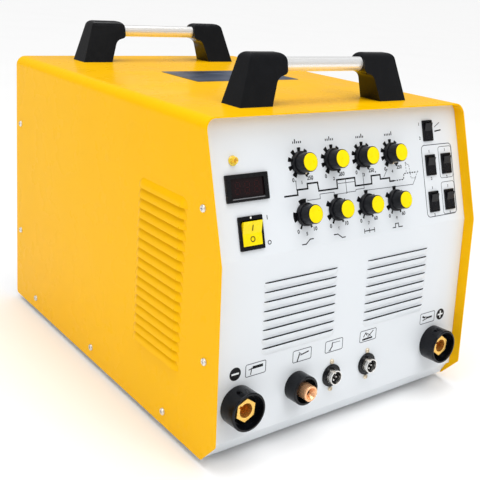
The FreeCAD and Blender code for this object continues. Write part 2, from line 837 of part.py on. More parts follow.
# ---- rocker switches -----------------------------------------------------------------------------
def switch_frame(size, pocket, bezel_height, body_depth, pivot):
    """Bezel on the panel and body through it, with a pocket and two pin holes for the rocker."""
    width, height = size
    half_x, half_y = pocket
    bezel = softened_block(width, height, bezel_height)
    body = rounded_block(width - 2 * switch_body_inset, height - 2 * switch_body_inset,
                         -body_depth, weld, switch_body_corner)
    room = box((-half_x, -half_y, -rocker_depth - switch_room), (half_x, half_y, bezel_height + 1))
    half_hole = half_x + rocker_pin_length + rocker_pin_gap
    hole = Part.makeCylinder(rocker_pin_radius + spindle_clearance, 2 * half_hole,
                             V(-half_hole, 0, pivot), V(1, 0, 0))
    return union([bezel, body]).cut([room, hole])


def rocker(pocket_x, pocket_y, pivot, front, throw):
    """Paddle that turns about local X through its side pins, at rest with its upper end out."""
    half_w = pocket_x - rocker_gap
    half_h = math.sqrt((pocket_y - rocker_gap) ** 2 - front ** 2)
    valley = half_h * math.tan(math.radians(throw / 2))
    back = front - rocker_end
    points = [(-half_h, front), (0, front - valley), (half_h, front), (half_h, back),
              (rocker_foot, -rocker_depth), (-rocker_foot, -rocker_depth), (-half_h, back)]
    radii = [rocker_edge, 0] + [rocker_edge] * 5
    side_view = rounded_face([V(-half_w, y, z) for y, z in points], radii)
    paddle = side_view.extrude(V(2 * half_w, 0, 0))
    half_pin = pocket_x + rocker_pin_length
    pin = Part.makeCylinder(rocker_pin_radius, 2 * half_pin, V(-half_pin, 0, 0), V(1, 0, 0))
    turned = FreeCAD.Placement(V(0, 0, pivot), FreeCAD.Rotation(V(1, 0, 0), throw / 2))
    return placed(union([paddle, pin]), turned)


def power_frame():
    size = (power_width, power_height)
    frame = switch_frame(size, power_pocket, power_bezel_height, power_body_depth, power_pivot)
    return placed(frame, on_upper(power_x, power_up))


def power_rocker():
    paddle = rocker(*power_pocket, power_pivot, power_front, power_throw)
    return placed(paddle, on_upper(power_x, power_up))


def selector_frames():
    size = (selector_width, selector_height)
    frame = switch_frame(size, selector_pocket, selector_bezel_height, selector_body_depth,
                         selector_pivot)
    return [placed(frame, on_upper(x, up)) for x, up in selector_places]


def selector_rockers():
    paddle = rocker(*selector_pocket, selector_pivot, selector_front, selector_throw)
    return [placed(paddle, on_upper(x, up)) for x, up in selector_places]


# ---- welding sockets -----------------------------------------------------------------------------
def weld_socket_shell():
    """Insulating cup on the panel, with a shank through it and a locking hole on its outside."""
    cup = softened(rod(socket_radius, 0, socket_depth), socket_depth, socket_edge)
    shank = rod(socket_shank_radius, -socket_shank_depth, weld)
    hollow = rod(socket_radius - socket_wall, socket_step, socket_depth + 1)
    well = rod(socket_well_radius, socket_floor, socket_depth)
    lock = Part.makeCylinder(socket_pin_radius, socket_radius,
                             V(0, 0, socket_depth * socket_pin_lift), socket_pin_way)
    lock = lock.cut(rod(socket_radius - socket_wall * socket_pin_sink, -1, socket_depth + 1))
    bar = hexagon(socket_hex + seam, -socket_shank_depth - 1, socket_depth, socket_turn)
    return union([cup, shank]).cut([hollow, well, lock, bar])


def weld_socket_contact():
    """Hexagonal contact with a deep bore and a key slot in its wall."""
    bar = hexagon(socket_hex, -socket_contact_back, socket_contact_front, socket_turn)
    mouth = socket_contact_front - socket_bore_depth
    bore = rod(socket_bore_radius, mouth, socket_contact_front + 1)
    slot = box((-socket_key_width / 2, 0, mouth), (socket_key_width / 2,
               socket_bore_radius + socket_key_depth, socket_contact_front + 1))
    slot.rotate(V(0, 0, 0), V(0, 0, 1), socket_key_turn)
    rear_bore = rod(socket_stud_radius, -socket_contact_back - 1, mouth - stud_gap)
    return bar.cut([bore, slot, rear_bore])


def at_sockets(shape):
    return [placed(shape, on_lower(x, socket_drop)) for x in socket_x]


def torch_shell():
    cup = softened(rod(torch_radius, 0, torch_depth), torch_depth, torch_edge)
    shank = rod(torch_shank_radius, -torch_shank_depth, weld)
    hollow = rod(torch_radius - torch_wall, torch_floor, torch_depth + 1)
    bore = rod(torch_contact_radius + seam, -torch_shank_depth - 1, torch_depth)
    return placed(union([cup, shank]).cut([hollow, bore]), on_lower(torch_x, torch_drop))


def torch_contact():
    """Round gas and current fitting: conical seat in its front end and a bore right through."""
    bar = softened(rod(torch_contact_radius, -torch_contact_back, torch_contact_front),
                   torch_contact_front, torch_contact_edge)
    bore = rod(torch_bore_radius, -torch_contact_back - 1, torch_contact_front + 1)
    seat = Part.makeCone(torch_bore_radius, torch_cone_radius, torch_cone_depth,
                         V(0, 0, torch_contact_front - torch_cone_depth))
    return placed(bar.cut([bore, seat]), on_lower(torch_x, torch_drop))


# ---- control sockets -----------------------------------------------------------------------------
def control_screw_places(x):
    for turn in (-1, 1):
        yield on_lower(x, control_drop + turn * control_screw_pitch / 2)


def at_controls(shape):
    return [placed(shape, on_lower(x, control_drop)) for x in control_x]


def control_flange():
    disc = softened(rod(control_flange_radius, 0, control_flange_thickness),
                    control_flange_thickness, control_flange_edge)
    return disc.cut(rod(control_shell_radius + seam, -1, control_flange_thickness + 1))


def control_shell():
    """Threaded barrel with grooves on its front stretch."""
    barrel = rod(control_shell_radius, -control_shell_back, control_shell_reach)
    bore = rod(control_shell_radius - control_shell_wall, -control_shell_back - 1,
               control_shell_reach + 1)
    start = control_flange_thickness + control_thread_gap
    grooves = []
    while start < control_shell_reach - 1:
        groove = rod(control_shell_radius + 1, start, start + control_groove)
        core = rod(control_shell_radius - control_groove_depth, start - 1, start + 2)
        grooves.append(groove.cut(core))
        start += control_groove_pitch
    return barrel.cut([bore] + grooves)


def control_insert():
    """Insulator with five plug pins that stand on a circle."""
    radius = control_shell_radius - control_shell_wall
    disc = rod(radius, -control_shell_back + 1, control_insert_front)
    pins = []
    for k in range(control_pin_count):
        turn = math.radians(90 + 360 / control_pin_count * (k + 0.5))
        pins.append(rod(control_pin_radius, control_insert_front - 1,
                        control_insert_front + control_pin_length,
                        control_pin_circle * math.cos(turn), control_pin_circle * math.sin(turn)))
    return union([disc] + pins)


def control_screws():
    screw = pan_head_screw(control_screw_radius, control_screw_head, control_screw_head_height,
                           control_screw_length)
    return [placed(screw, place) for x in control_x for place in control_screw_places(x)]


# ---- rear panel and fan --------------------------------------------------------------------------
def fan_bolt_places():
    half = fan_bolt_pitch / 2
    return [on_rear(fan_x + x, fan_height + z) for x in (-half, half) for z in (-half, half)]


def rear_panel():
    """Folded sheet with turned-in edges on all four sides."""
    low = tray_z + seam
    high = top_z - sheet - seam
    skin = box((-inner_half, rear_face - flange, low), (inner_half, rear_face, high))
    room = box((-inner_half + sheet, rear_face - flange - 1, low + sheet),
               (inner_half - sheet, rear_face - sheet, high - sheet))
    through = (-sheet - 2, 2)
    cuts = [placed(rod(fan_bore_radius, *through), on_rear(fan_x, fan_height)),
            placed(rod(gland_shank_radius + seam, *through), on_rear(gland_x, gland_height)),
            placed(rod(nipple_radius + seam, *through), on_rear(nipple_x, nipple_height))]
    cuts += [placed(rod(fan_bolt_radius + seam, *through), place) for place in fan_bolt_places()]
    cuts += [placed(rod(screw_radius + screw_clearance, -3 * sheet, 1), on_side(s, b, h))
             for s in (-1, 1) for b, h in side_screws_rear]
    for row in range(rear_slot_count):
        for x in rear_slot_x:
            slot = rounded_block(rear_slot_length, rear_slot_width, *through, rear_slot_corner)
            cuts.append(placed(slot, on_rear(x, rear_slot_height + row * rear_slot_pitch)))
    bend = arch(inner_half, high, bend_radius - sheet - seam)
    return skin.cut(room).common(bend).cut(cuts)


def fan_frame():
    """Square duct behind the rear panel; four struts at its front end hold the rotor's pin."""
    front = -sheet - fan_thickness
    duct = rounded_block(fan_size, fan_size, front, -sheet, fan_corner)
    bore = rod(fan_bore_radius, front - 1, 0)
    plate = rod(fan_hub_radius, front, front + fan_strut)
    struts = [box((-fan_strut / 2, 0, front), (fan_strut / 2, fan_bore_radius + 2, front + fan_strut))
              for k in range(4)]
    for k, strut in enumerate(struts):
        strut.rotate(V(0, 0, 0), V(0, 0, 1), 45 + 90 * k)
    pin = rod(fan_shaft_radius, front + 1, front + fan_strut + fan_pin_length)
    half = fan_bolt_pitch / 2
    holes = [rod(fan_bolt_radius + seam, front - 1, 0, x, y)
             for x in (-half, half) for y in (-half, half)]
    duct = duct.cut([bore] + holes)
    return placed(union([duct, plate, pin] + struts), on_rear(fan_x, fan_height))


def fan_rotor():
    """Hub with pitched blades; it runs on the frame's pin."""
    strut_face = -sheet - fan_thickness + fan_strut
    front = strut_face + fan_strut_gap
    back = -sheet - fan_blade_gap
    hub = softened(rod(fan_hub_radius, front, back), back, fan_hub_edge)
    middle = (front + back) / 2
    blades = []
    for k in range(fan_blade_count):
        blade = box((-fan_blade_chord / 2, fan_hub_radius - 3, -fan_blade_thickness / 2),
                    (fan_blade_chord / 2, fan_blade_radius, fan_blade_thickness / 2))
        blade.rotate(V(0, 0, 0), V(0, 1, 0), fan_blade_pitch)
        blade.translate(V(0, 0, middle))
        blade.rotate(V(0, 0, 0), V(0, 0, 1), 360 / fan_blade_count * k)
        blades.append(blade)
    swept = rod(fan_blade_radius, front, back)
    bore = rod(fan_shaft_radius + fan_shaft_clearance, front - 1,
               strut_face + fan_pin_length + fan_pin_gap)
    rotor = union([hub] + blades).common(swept).cut(bore)
    return placed(rotor, on_rear(fan_x, fan_height))


def fan_guard():
    """Wire guard: rings, radial wires and four tabs under the fan's screws."""
    pieces = [Part.makeTorus(radius, guard_wire_radius, V(0, 0, guard_standoff))
              for radius in guard_ring_radii]
    inner, outer = guard_ring_radii[0], guard_ring_radii[-1]
    wire_z = guard_standoff - guard_wire_radius * guard_wire_sink
    tab_circle = fan_bolt_pitch / math.sqrt(2)
    for k in range(4):
        turn = math.radians(45 + 90 * k)
        out = V(math.cos(turn), math.sin(turn), 0)
        start = out * (inner - guard_wire_over) + V(0, 0, wire_z)
        knee = out * (outer + guard_wire_over) + V(0, 0, wire_z)
        toe = out * (tab_circle - guard_tab_radius + guard_leg_over)
        leg = toe + V(0, 0, guard_tab_thickness / 2) - knee
        pieces.append(Part.makeCylinder(guard_spoke_radius, (knee - start).Length, start, out))
        pieces.append(Part.makeCylinder(guard_leg_radius, leg.Length, knee, leg))
        pieces.append(rod(guard_tab_radius, 0, guard_tab_thickness,
                          tab_circle * out.x, tab_circle * out.y))
    half = fan_bolt_pitch / 2
    holes = [rod(fan_bolt_radius + seam, -1, guard_tab_thickness + 1, x, y)
             for x in (-half, half) for y in (-half, half)]
    return placed(pieces[0].multiFuse(pieces[1:]).cut(holes), on_rear(fan_x, fan_height))


def fan_screws():
    screw = pan_head_screw(fan_bolt_radius, *fan_screw_head, fan_thickness + 2)
    lift = FreeCAD.Placement(V(0, 0, guard_tab_thickness), FreeCAD.Rotation())
    return [placed(screw, place.multiply(lift)) for place in fan_bolt_places()]


def cord_gland():
    """Cable gland without a cable: hexagon, domed nut, shank through the panel and lock nut."""
    collar_over, collar_end = gland_collar
    cap_start, cap_end = gland_cap
    dome = Part.makeCone(gland_radius - 3, gland_bore_radius + gland_lip,
                         gland_reach - gland_cone, V(0, 0, gland_cone))
    body = union([hexagon(gland_radius, 0, gland_hex_height),
                  rod(gland_shank_radius + collar_over, gland_hex_height - 1, collar_end),
                  hexagon(gland_radius - weld, cap_start, cap_end, gland_cap_turn), dome,
                  rod(gland_shank_radius, -sheet - gland_shank_reach, 1),
                  hexagon(gland_nut_radius, -sheet - gland_nut_thickness, -sheet)])
    bore = rod(gland_bore_radius, -sheet - gland_shank_reach - 1, gland_reach + 1)
    return placed(body.cut(bore), on_rear(gland_x, gland_height))


def gas_nipple():
    """Barbed gas inlet with a hexagon on the panel and a shank into the valve."""
    tube_radius = nipple_radius - nipple_barb_drop
    tube = [hexagon(nipple_hex, 0, nipple_hex_height),
            rod(nipple_radius, -sheet - nipple_shank_reach, 1),
            rod(tube_radius, nipple_hex_height - 1, nipple_reach)]
    for start in nipple_barbs:
        tube.append(Part.makeCone(nipple_radius, tube_radius, nipple_barb_length, V(0, 0, start)))
    bore = rod(nipple_bore_radius, -sheet - nipple_shank_reach - 1, nipple_reach + 1)
    return placed(union(tube).cut(bore), on_rear(nipple_x, nipple_height))


def gas_valve():
    """Solenoid valve on the inner side of the rear panel: block below, round coil above."""
    half = valve_width / 2
    block = box((-half, -half, -sheet - valve_depth), (half, half, -sheet))
    coil = Part.makeCylinder(valve_coil_radius, valve_coil_height,
                             V(0, half - 1, -sheet - valve_depth / 2), V(0, 1, 0))
    bore = rod(nipple_radius + seam, -sheet - nipple_shank_reach - 2, 0)
    return placed(union([block, coil]).cut(bore), on_rear(nipple_x, nipple_height))


# ---- inner pieces --------------------------------------------------------------------------------
def heat_sinks():
    """Two finned blocks that stand on the tray, fins down, one left and one right."""
    sinks = []
    near = kink_y + sink_y
    for x in sink_x:
        low, high = x - sink_width / 2, x + sink_width / 2
        top = tray_z + sink_height
        plates = [box((low, near, top - sink_base), (high, near + sink_length, top))]
        step = (sink_width - sink_fin) / (sink_fin_count - 1)
        for k in range(sink_fin_count):
            start = low + k * step
            plates.append(box((start, near, tray_z), (start + sink_fin, near + sink_length, top)))
        sinks.append(union(plates))
    return sinks


def power_board():
    reach = sink_x[1] + sink_width / 2 + board_overhang
    near = kink_y + sink_y - board_overhang
    top = tray_z + sink_height
    return box((-reach, near, top), (reach, near + sink_length + 2 * board_overhang,
                                     top + board_thickness))


def capacitors():
    top = tray_z + sink_height + board_thickness
    middle = kink_y + sink_y + sink_length / 2
    first = -(capacitor_count - 1) / 2
    can = rod(capacitor_radius, 0, capacitor_height)
    can = softened(can, capacitor_height, capacitor_edge)
    return [placed(can, FreeCAD.Placement(V(0, middle + (first + k) * capacitor_pitch, top),
                                          FreeCAD.Rotation()))
            for k in range(capacitor_count)]


def transformer_parts():
    """Core with two windows, and the winding on its middle leg."""
    wide, deep, high = transformer_size
    near = kink_y + transformer_y
    leg = transformer_leg
    window = (wide - 3 * leg) / 2
    core = box((-wide / 2, near, tray_z), (wide / 2, near + deep, tray_z + high))
    for low in (-wide / 2 + leg, leg / 2):
        core = core.cut(box((low, near - 1, tray_z + leg),
                            (low + window, near + deep + 1, tray_z + high - leg)))
    swell = leg / 2 + window - winding_gap
    block = rounded_block(2 * swell, deep + 2 * transformer_swell, tray_z + leg + winding_end_gap,
                          tray_z + high - leg - winding_end_gap, winding_corner)
    block.translate(V(0, near + deep / 2, 0))
    reach = leg / 2 + winding_fit
    hole = box((-reach, near - winding_fit, tray_z), (reach, near + deep + winding_fit,
                                                      tray_z + high))
    return core, block.cut(hole)


def arc_starter():
    """Potted toroid of the arc starter, moulded in one with its base plate."""
    x, y = coil_x, kink_y + coil_y
    wide, deep, thick = coil_base_size
    base = box((x - wide / 2, y - deep / 2, tray_z), (x + wide / 2, y + deep / 2, tray_z + thick))
    ring = rod(coil_radius, tray_z + thick, tray_z + thick + coil_thickness, x, y)
    bore = rod(coil_bore, tray_z + thick, tray_z + thick + coil_thickness + 1, x, y)
    return union([ring.cut(bore), base])


def export(name, shape):
    """One STEP file for one named piece, or for a group of like pieces."""
    solid = Part.makeCompound(shape) if isinstance(shape, list) else shape
    solid.exportStep("parts/" + name + ".step")


def main():
    os.makedirs("parts", exist_ok=True)
    core, winding = transformer_parts()
    pieces = {
        "cover": cover(),
        "floor_tray": floor_tray(),
        "rubber_feet": rubber_feet(),
        "case_screws": case_screws(),
        "front_panel": front_panel(),
        "rear_panel": rear_panel(),
        "handle_brackets_left": handle_brackets_left(),
        "handle_brackets_right": handle_brackets_right(),
        "handle_grips": handle_grips(),
        "handle_bolts": handle_bolts(),
        "top_plate": top_plate(),
        "potentiometers": [placed(potentiometer(), place) for place in knob_places()],
        "meter_bezel": meter_bezel(),
        "meter_window": meter_window(),
        "pilot_lamp": pilot_lamp(),
        "power_switch_frame": power_frame(),
        "power_rocker": power_rocker(),
        "selector_frames": selector_frames(),
        "weld_socket_shells": at_sockets(weld_socket_shell()),
        "weld_socket_contacts": at_sockets(weld_socket_contact()),
        "torch_socket_shell": torch_shell(),
        "torch_socket_contact": torch_contact(),
        "control_socket_flanges": at_controls(control_flange()),
        "control_socket_shells": at_controls(control_shell()),
        "control_socket_inserts": at_controls(control_insert()),
        "control_socket_screws": control_screws(),
        "fan_frame": fan_frame(),
        "fan_rotor": fan_rotor(),
        "fan_guard": fan_guard(),
        "fan_screws": fan_screws(),
        "cord_gland": cord_gland(),
        "gas_nipple": gas_nipple(),
        "gas_valve": gas_valve(),
        "heat_sinks": heat_sinks(),
        "power_board": power_board(),
        "capacitors": capacitors(),
        "transformer_core": core,
        "transformer_winding": winding,
        "arc_starter": arc_starter(),
    }
    for number, place in enumerate(knob_places(), 1):
        pieces["knob_%d" % number] = placed(knob(), place)
        pieces["knob_cap_%d" % number] = placed(knob_cap(), place)
    for number, paddle in enumerate(selector_rockers(), 1):
        pieces["selector_rocker_%d" % number] = paddle
    for name, shape in pieces.items():
        export(name, shape)


main()
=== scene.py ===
import json
import math

import bmesh
import bpy
from bpy.props import FloatProperty, FloatVectorProperty, PointerProperty
from mathutils import Matrix, Vector


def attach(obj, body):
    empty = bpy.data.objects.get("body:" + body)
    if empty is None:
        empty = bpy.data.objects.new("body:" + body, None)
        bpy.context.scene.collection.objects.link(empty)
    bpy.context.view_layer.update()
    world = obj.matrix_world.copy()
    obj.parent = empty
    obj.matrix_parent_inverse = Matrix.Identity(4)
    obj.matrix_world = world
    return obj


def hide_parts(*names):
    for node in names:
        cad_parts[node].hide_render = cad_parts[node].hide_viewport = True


bl_info = {
    "name": "Welding Power Source",
    "version": (1, 0, 0),
    "blender": (4, 5, 0),
    "location": "View3D > Sidebar > Welder",
    "description": "Finishes, printed marks and fine pieces of a portable welding power source",
    "category": "Object",
}

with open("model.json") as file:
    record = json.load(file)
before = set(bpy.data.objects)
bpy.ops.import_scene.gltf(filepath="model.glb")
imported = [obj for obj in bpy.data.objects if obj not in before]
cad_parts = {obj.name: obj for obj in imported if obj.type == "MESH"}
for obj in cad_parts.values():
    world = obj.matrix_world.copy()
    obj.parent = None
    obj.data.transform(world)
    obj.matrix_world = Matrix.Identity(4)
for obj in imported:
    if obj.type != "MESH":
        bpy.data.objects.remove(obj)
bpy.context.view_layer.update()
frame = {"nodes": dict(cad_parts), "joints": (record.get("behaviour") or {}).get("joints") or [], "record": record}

MM = 0.001
CASE = "case"
KNOB_COUNT = 8
SELECTOR_COUNT = 5
PRINT_THICKNESS = 0.08 * MM
KNOB_JOINT_LIFT = 9.6 * MM      # knob joints stand this far ahead of the panel's face
LOWER_KNOB_ROW = 42.0 * MM      # up the upper face from the bend
SOCKET_JOINT_LIFT = 1.5 * MM    # socket mounts' points stand this far ahead of the panel's face
SOCKET_DROP = 178.5 * MM        # down the lower face from the bend
X_AXIS = Vector((1, 0, 0))


# ---- places on the two leaning faces of the front panel ----
def joint(name):
    return next(j for j in frame["joints"] if j["name"] == name)


def mount(name):
    return next(m for m in frame["record"]["mounts"] if m["name"] == name)


def face_frame(origin, outward):
    """Matrix with X to the right, Y up the face and Z out of it."""
    up = outward.cross(X_AXIS)
    axes = Matrix((X_AXIS, up, outward)).transposed().to_4x4()
    return Matrix.Translation(origin) @ axes


def upper_face():
    outward = Vector(joint("knob_5_turn")["axis"])
    up = outward.cross(X_AXIS)
    knob = Vector(joint("knob_5_turn")["pos_m"])
    origin = knob - outward * KNOB_JOINT_LIFT - up * LOWER_KNOB_ROW
    return face_frame(Vector((0, origin.y, origin.z)), outward)


def lower_face():
    outward = Vector(mount("left_weld_socket")["axis"])
    up = outward.cross(X_AXIS)
    socket = Vector(mount("left_weld_socket")["pos_m"])
    origin = socket - outward * SOCKET_JOINT_LIFT + up * SOCKET_DROP
    return face_frame(Vector((0, origin.y, origin.z)), outward)


UPPER = upper_face()
LOWER = lower_face()


def spot(face, x, up, lift=0.0, turn=0.0):
    """Matrix of a place on a face: x and up in millimetres, lift in metres, turn in degrees."""
    shift = Matrix.Translation((x * MM, up * MM, lift))
    return face @ shift @ Matrix.Rotation(math.radians(turn), 4, "Z")


def knob_spot(number):
    """Place on the panel's face behind a knob."""
    outward = Vector(joint(f"knob_{number}_turn")["axis"])
    place = Vector(joint(f"knob_{number}_turn")["pos_m"]) - outward * KNOB_JOINT_LIFT
    return face_frame(place, outward)


# ---- finishes ----
FINISHES = {}
NOISE_ROUGHNESS = 0.55


class Finish:
    """A Principled material and the nodes that vary its colour, gloss and relief."""

    def __init__(self, name, colour, rough, metallic=0.0, **sockets):
        self.material = bpy.data.materials.new(name)
        self.material.use_nodes = True
        self.nodes = self.material.node_tree.nodes
        self.links = self.material.node_tree.links
        self.shader = self.nodes["Principled BSDF"]
        self.shader.inputs["Base Color"].default_value = (*colour, 1.0)
        self.shader.inputs["Roughness"].default_value = rough
        self.shader.inputs["Metallic"].default_value = metallic
        self.fill(self.shader, sockets)
        self.relief = None
        FINISHES[name] = self

    def fill(self, node, values):
        for socket, value in values.items():
            node.inputs[socket.replace("_", " ")].default_value = value

    def add(self, kind, **values):
        """New shader node with its sockets set."""
        node = self.nodes.new(kind)
        self.fill(node, values)
        return node

    def coordinates(self, stretch=(1, 1, 1), turn=(0, 0, 0)):
        source = self.add("ShaderNodeTexCoord")
        place = self.add("ShaderNodeMapping", Rotation=turn, Scale=stretch)
        self.links.new(source.outputs["Object"], place.inputs["Vector"])
        return place.outputs["Vector"]

    def about(self, place, twins=0.0):
        """Coordinates on a place of a face; with twins, about either of two places on its X."""
        source = self.add("ShaderNodeTexCoord")
        local = self.add("ShaderNodeMapping", Location=place.translation,
                         Rotation=place.to_euler())
        local.vector_type = "TEXTURE"
        self.links.new(source.outputs["Object"], local.inputs["Vector"])
        split = self.add("ShaderNodeSeparateXYZ")
        self.links.new(local.outputs["Vector"], split.inputs["Vector"])
        mirror = self.add("ShaderNodeMath")
        mirror.operation = "ABSOLUTE"
        shift = self.add("ShaderNodeMath")
        shift.operation = "SUBTRACT"
        shift.inputs[1].default_value = twins
        joined = self.add("ShaderNodeCombineXYZ")
        self.links.new(split.outputs["X"], mirror.inputs[0])
        self.links.new(mirror.outputs["Value"], shift.inputs[0])
        self.links.new(shift.outputs["Value"], joined.inputs["X"])
        self.links.new(split.outputs["Y"], joined.inputs["Y"])
        return joined.outputs["Vector"]

    def radius(self, vector):
        """Distance from the local Z axis, in metres."""
        node = self.add("ShaderNodeVectorMath")
        node.operation = "LENGTH"
        self.links.new(vector, node.inputs[0])
        return node.outputs["Value"]

    def rings(self, distance, pitch):
        """Fine wave that runs out from the axis, one turn for each pitch in metres."""
        node = self.add("ShaderNodeMath")
        node.operation = "PINGPONG"
        node.inputs[1].default_value = pitch / 2
        self.links.new(distance, node.inputs[0])
        return self.ramp(node.outputs["Value"], 0.0, pitch / 2, 0.0, 1.0)

    def noise(self, scale, detail=4.0, **place):
        node = self.add("ShaderNodeTexNoise", Scale=scale, Detail=detail,
                        Roughness=NOISE_ROUGHNESS)
        self.links.new(self.coordinates(**place), node.inputs["Vector"])
        return node.outputs["Fac"]

    def bands(self, scale, direction, distortion=0.0):
        node = self.add("ShaderNodeTexWave", Scale=scale, Distortion=distortion, Detail=1.0)
        node.bands_direction = direction
        self.links.new(self.coordinates(), node.inputs["Vector"])
        return node.outputs["Fac"]

    def ramp(self, value, low, high, start, end):
        """Maps a value's span low..high to start..end."""
        node = self.add("ShaderNodeMapRange", From_Min=low, From_Max=high, To_Min=start,
                        To_Max=end)
        self.links.new(value, node.inputs["Value"])
        return node.outputs["Result"]

    def tint(self, value, colour, low=0.4, high=0.7, share=1.0):
        """Mixes another colour in where the value is high."""
        node = self.add("ShaderNodeMix")
        node.data_type = "RGBA"
        base = self.shader.inputs["Base Color"]
        if base.is_linked:
            self.links.new(base.links[0].from_socket, node.inputs["A"])
        else:
            node.inputs["A"].default_value = base.default_value
        node.inputs["B"].default_value = (*colour, 1.0)
        self.links.new(self.ramp(value, low, high, 0.0, share), node.inputs["Factor"])
        self.links.new(node.outputs["Result"], base)
        return self

    def gloss(self, value, start, end, low=0.3, high=0.7):
        """Lets the roughness run from start to end with the value."""
        self.links.new(self.ramp(value, low, high, start, end), self.shader.inputs["Roughness"])
        return self

    def bump(self, value, depth, strength=1.0):
        """Adds relief; the depth is in millimetres."""
        node = self.add("ShaderNodeBump", Distance=depth * MM, Strength=strength)
        self.links.new(value, node.inputs["Height"])
        if self.relief is not None:
            self.links.new(self.relief.outputs["Normal"], node.inputs["Normal"])
        self.links.new(node.outputs["Normal"], self.shader.inputs["Normal"])
        self.relief = node
        return self


def powder_coat(name, colour, shade, rough):
    """Glossy baked powder: orange peel, faint shade drift and fine rubbed patches."""
    coat = Finish(name, colour, rough, Coat_Weight=0.12, Coat_Roughness=0.05,
                  Specular_IOR_Level=0.03)
    coat.tint(coat.noise(3.2, detail=2.0), shade, 0.40, 0.75, 0.2)
    coat.tint(coat.noise(160.0, detail=2.0), shade, 0.55, 0.8, 0.15)
    coat.gloss(coat.noise(14.0, detail=5.0), rough - 0.04, rough + 0.12)
    coat.bump(coat.noise(420.0, detail=2.0), 0.06, 0.5)


def satin_paint(name, colour, shade, rough):
    """Fine-grained satin enamel with a faint drift of shade."""
    paint = Finish(name, colour, rough, Coat_Weight=0.12, Coat_Roughness=0.2)
    paint.tint(paint.noise(5.0, detail=3.0), shade, 0.45, 0.8, 0.5)
    paint.gloss(paint.noise(22.0, detail=5.0), rough - 0.06, rough + 0.1)
    paint.bump(paint.noise(900.0, detail=2.0), 0.03, 0.45)


def moulded(name, colour, rough, grain=1400.0):
    """Injection-moulded plastic: spark-eroded grain and faint flow clouds."""
    plastic = Finish(name, colour, rough, Specular_IOR_Level=0.24)
    light = tuple(min(1.0, c * 1.6 + 0.004) for c in colour)
    plastic.tint(plastic.noise(60.0, detail=3.0), light, 0.5, 0.85, 0.4)
    plastic.gloss(plastic.noise(180.0, detail=4.0), max(0.05, rough - 0.07), rough + 0.1)
    plastic.bump(plastic.noise(grain, detail=2.0), 0.02, 0.5)


def machined(name, colour, rough, shade, place=None, twins=0.0, bore_shade_radius=0.0, metallic=1.0):
    """Turned metal: tool rings about a place on a face, cloudy tarnish and painted shade that darkens the face
    about a bore.
    """
    metal = Finish(name, colour, rough, metallic=metallic)
    metal.tint(metal.noise(90.0, detail=4.0), shade, 0.45, 0.8, 0.6)
    metal.gloss(metal.noise(240.0, detail=3.0), rough - 0.05, rough + 0.1)
    if place is None:
        metal.bump(metal.noise(1200.0), 0.01, 0.35)
        return
    distance = metal.radius(metal.about(place, twins))
    metal.bump(metal.rings(distance, 0.5 * MM), 0.01, 0.35)
    # Painted shade: near black within a little more than the bore's radius, standing in for the shadow inside the
    # bore.
    if bore_shade_radius > 0:
        metal.tint(distance, tuple(c * 0.02 for c in shade), bore_shade_radius * 1.4, bore_shade_radius * 1.2)


def drawn(name, colour, rough, shade, stretch, metallic=1.0):
    """Drawn or rolled metal: long fine streaks."""
    metal = Finish(name, colour, rough, metallic=metallic)
    streaks = metal.noise(1.0, detail=6.0, stretch=stretch)
    metal.tint(streaks, shade, 0.4, 0.75, 0.7)
    metal.gloss(streaks, rough - 0.06, rough + 0.14)
    metal.bump(streaks, 0.01, 0.4)


def ink(name, colour, rough):
    """Screen-printed ink with a slightly uneven film."""
    film = Finish(name, colour, rough, Specular_IOR_Level=0.15)
    paler = tuple(min(1.0, c * 1.15 + 0.002) for c in colour)
    film.tint(film.noise(700.0, detail=3.0), paler, 0.5, 0.8, 0.8)
    film.bump(film.noise(1500.0), 0.008, 0.4)


def dress(name, *nodes):
    """Gives CAD nodes a finish."""
    for node in nodes:
        mesh = frame["nodes"][node].data
        mesh.materials.clear()
        mesh.materials.append(FINISHES[name].material)


# ---- mesh helpers ----
SHARP_ANGLE = math.radians(35.0)
WELD = 1e-7                     # points nearer than this in metres become one
DISC_SEGMENTS = 48
SECTOR_STEP = 5                 # degrees
NUMBER_BOLD = 0.16              # extra width of a number's strokes, in millimetres


def new_piece(name, bm, body, finish):
    """Turns a bmesh into a piece that rides on a body."""
    bmesh.ops.recalc_face_normals(bm, faces=bm.faces)
    mesh = bpy.data.meshes.new(name)
    bm.to_mesh(mesh)
    bm.free()
    mesh.shade_smooth()
    mesh.set_sharp_from_angle(angle=SHARP_ANGLE)
    piece = bpy.data.objects.new(name, mesh)
    bpy.context.scene.collection.objects.link(piece)
    mesh.materials.append(FINISHES[finish].material)
    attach(piece, body)
    return piece


def printed(name, bm, finish="black ink"):
    """Marks printed on the case; also lays painted highlights, such as the meter's lip line and the power switch's
    dot, on it the same way.
    """
    new_piece(name, bm, CASE, finish)


def bar(bm, place, width, height, thickness=PRINT_THICKNESS):
    """Thin rectangular block that stands on a face; width and height in millimetres."""
    size = Matrix.Diagonal((width * MM, height * MM, thickness, 1))
    lift = Matrix.Translation((0, 0, thickness / 2))
    return bmesh.ops.create_cube(bm, size=1, matrix=place @ lift @ size)["verts"]


def disc(bm, place, radius):
    """Thin round block that stands on a face; radius in millimetres."""
    lift = Matrix.Translation((0, 0, PRINT_THICKNESS / 2))
    bmesh.ops.create_cone(bm, cap_ends=True, segments=DISC_SEGMENTS, radius1=radius * MM,
                          radius2=radius * MM, depth=PRINT_THICKNESS, matrix=place @ lift)


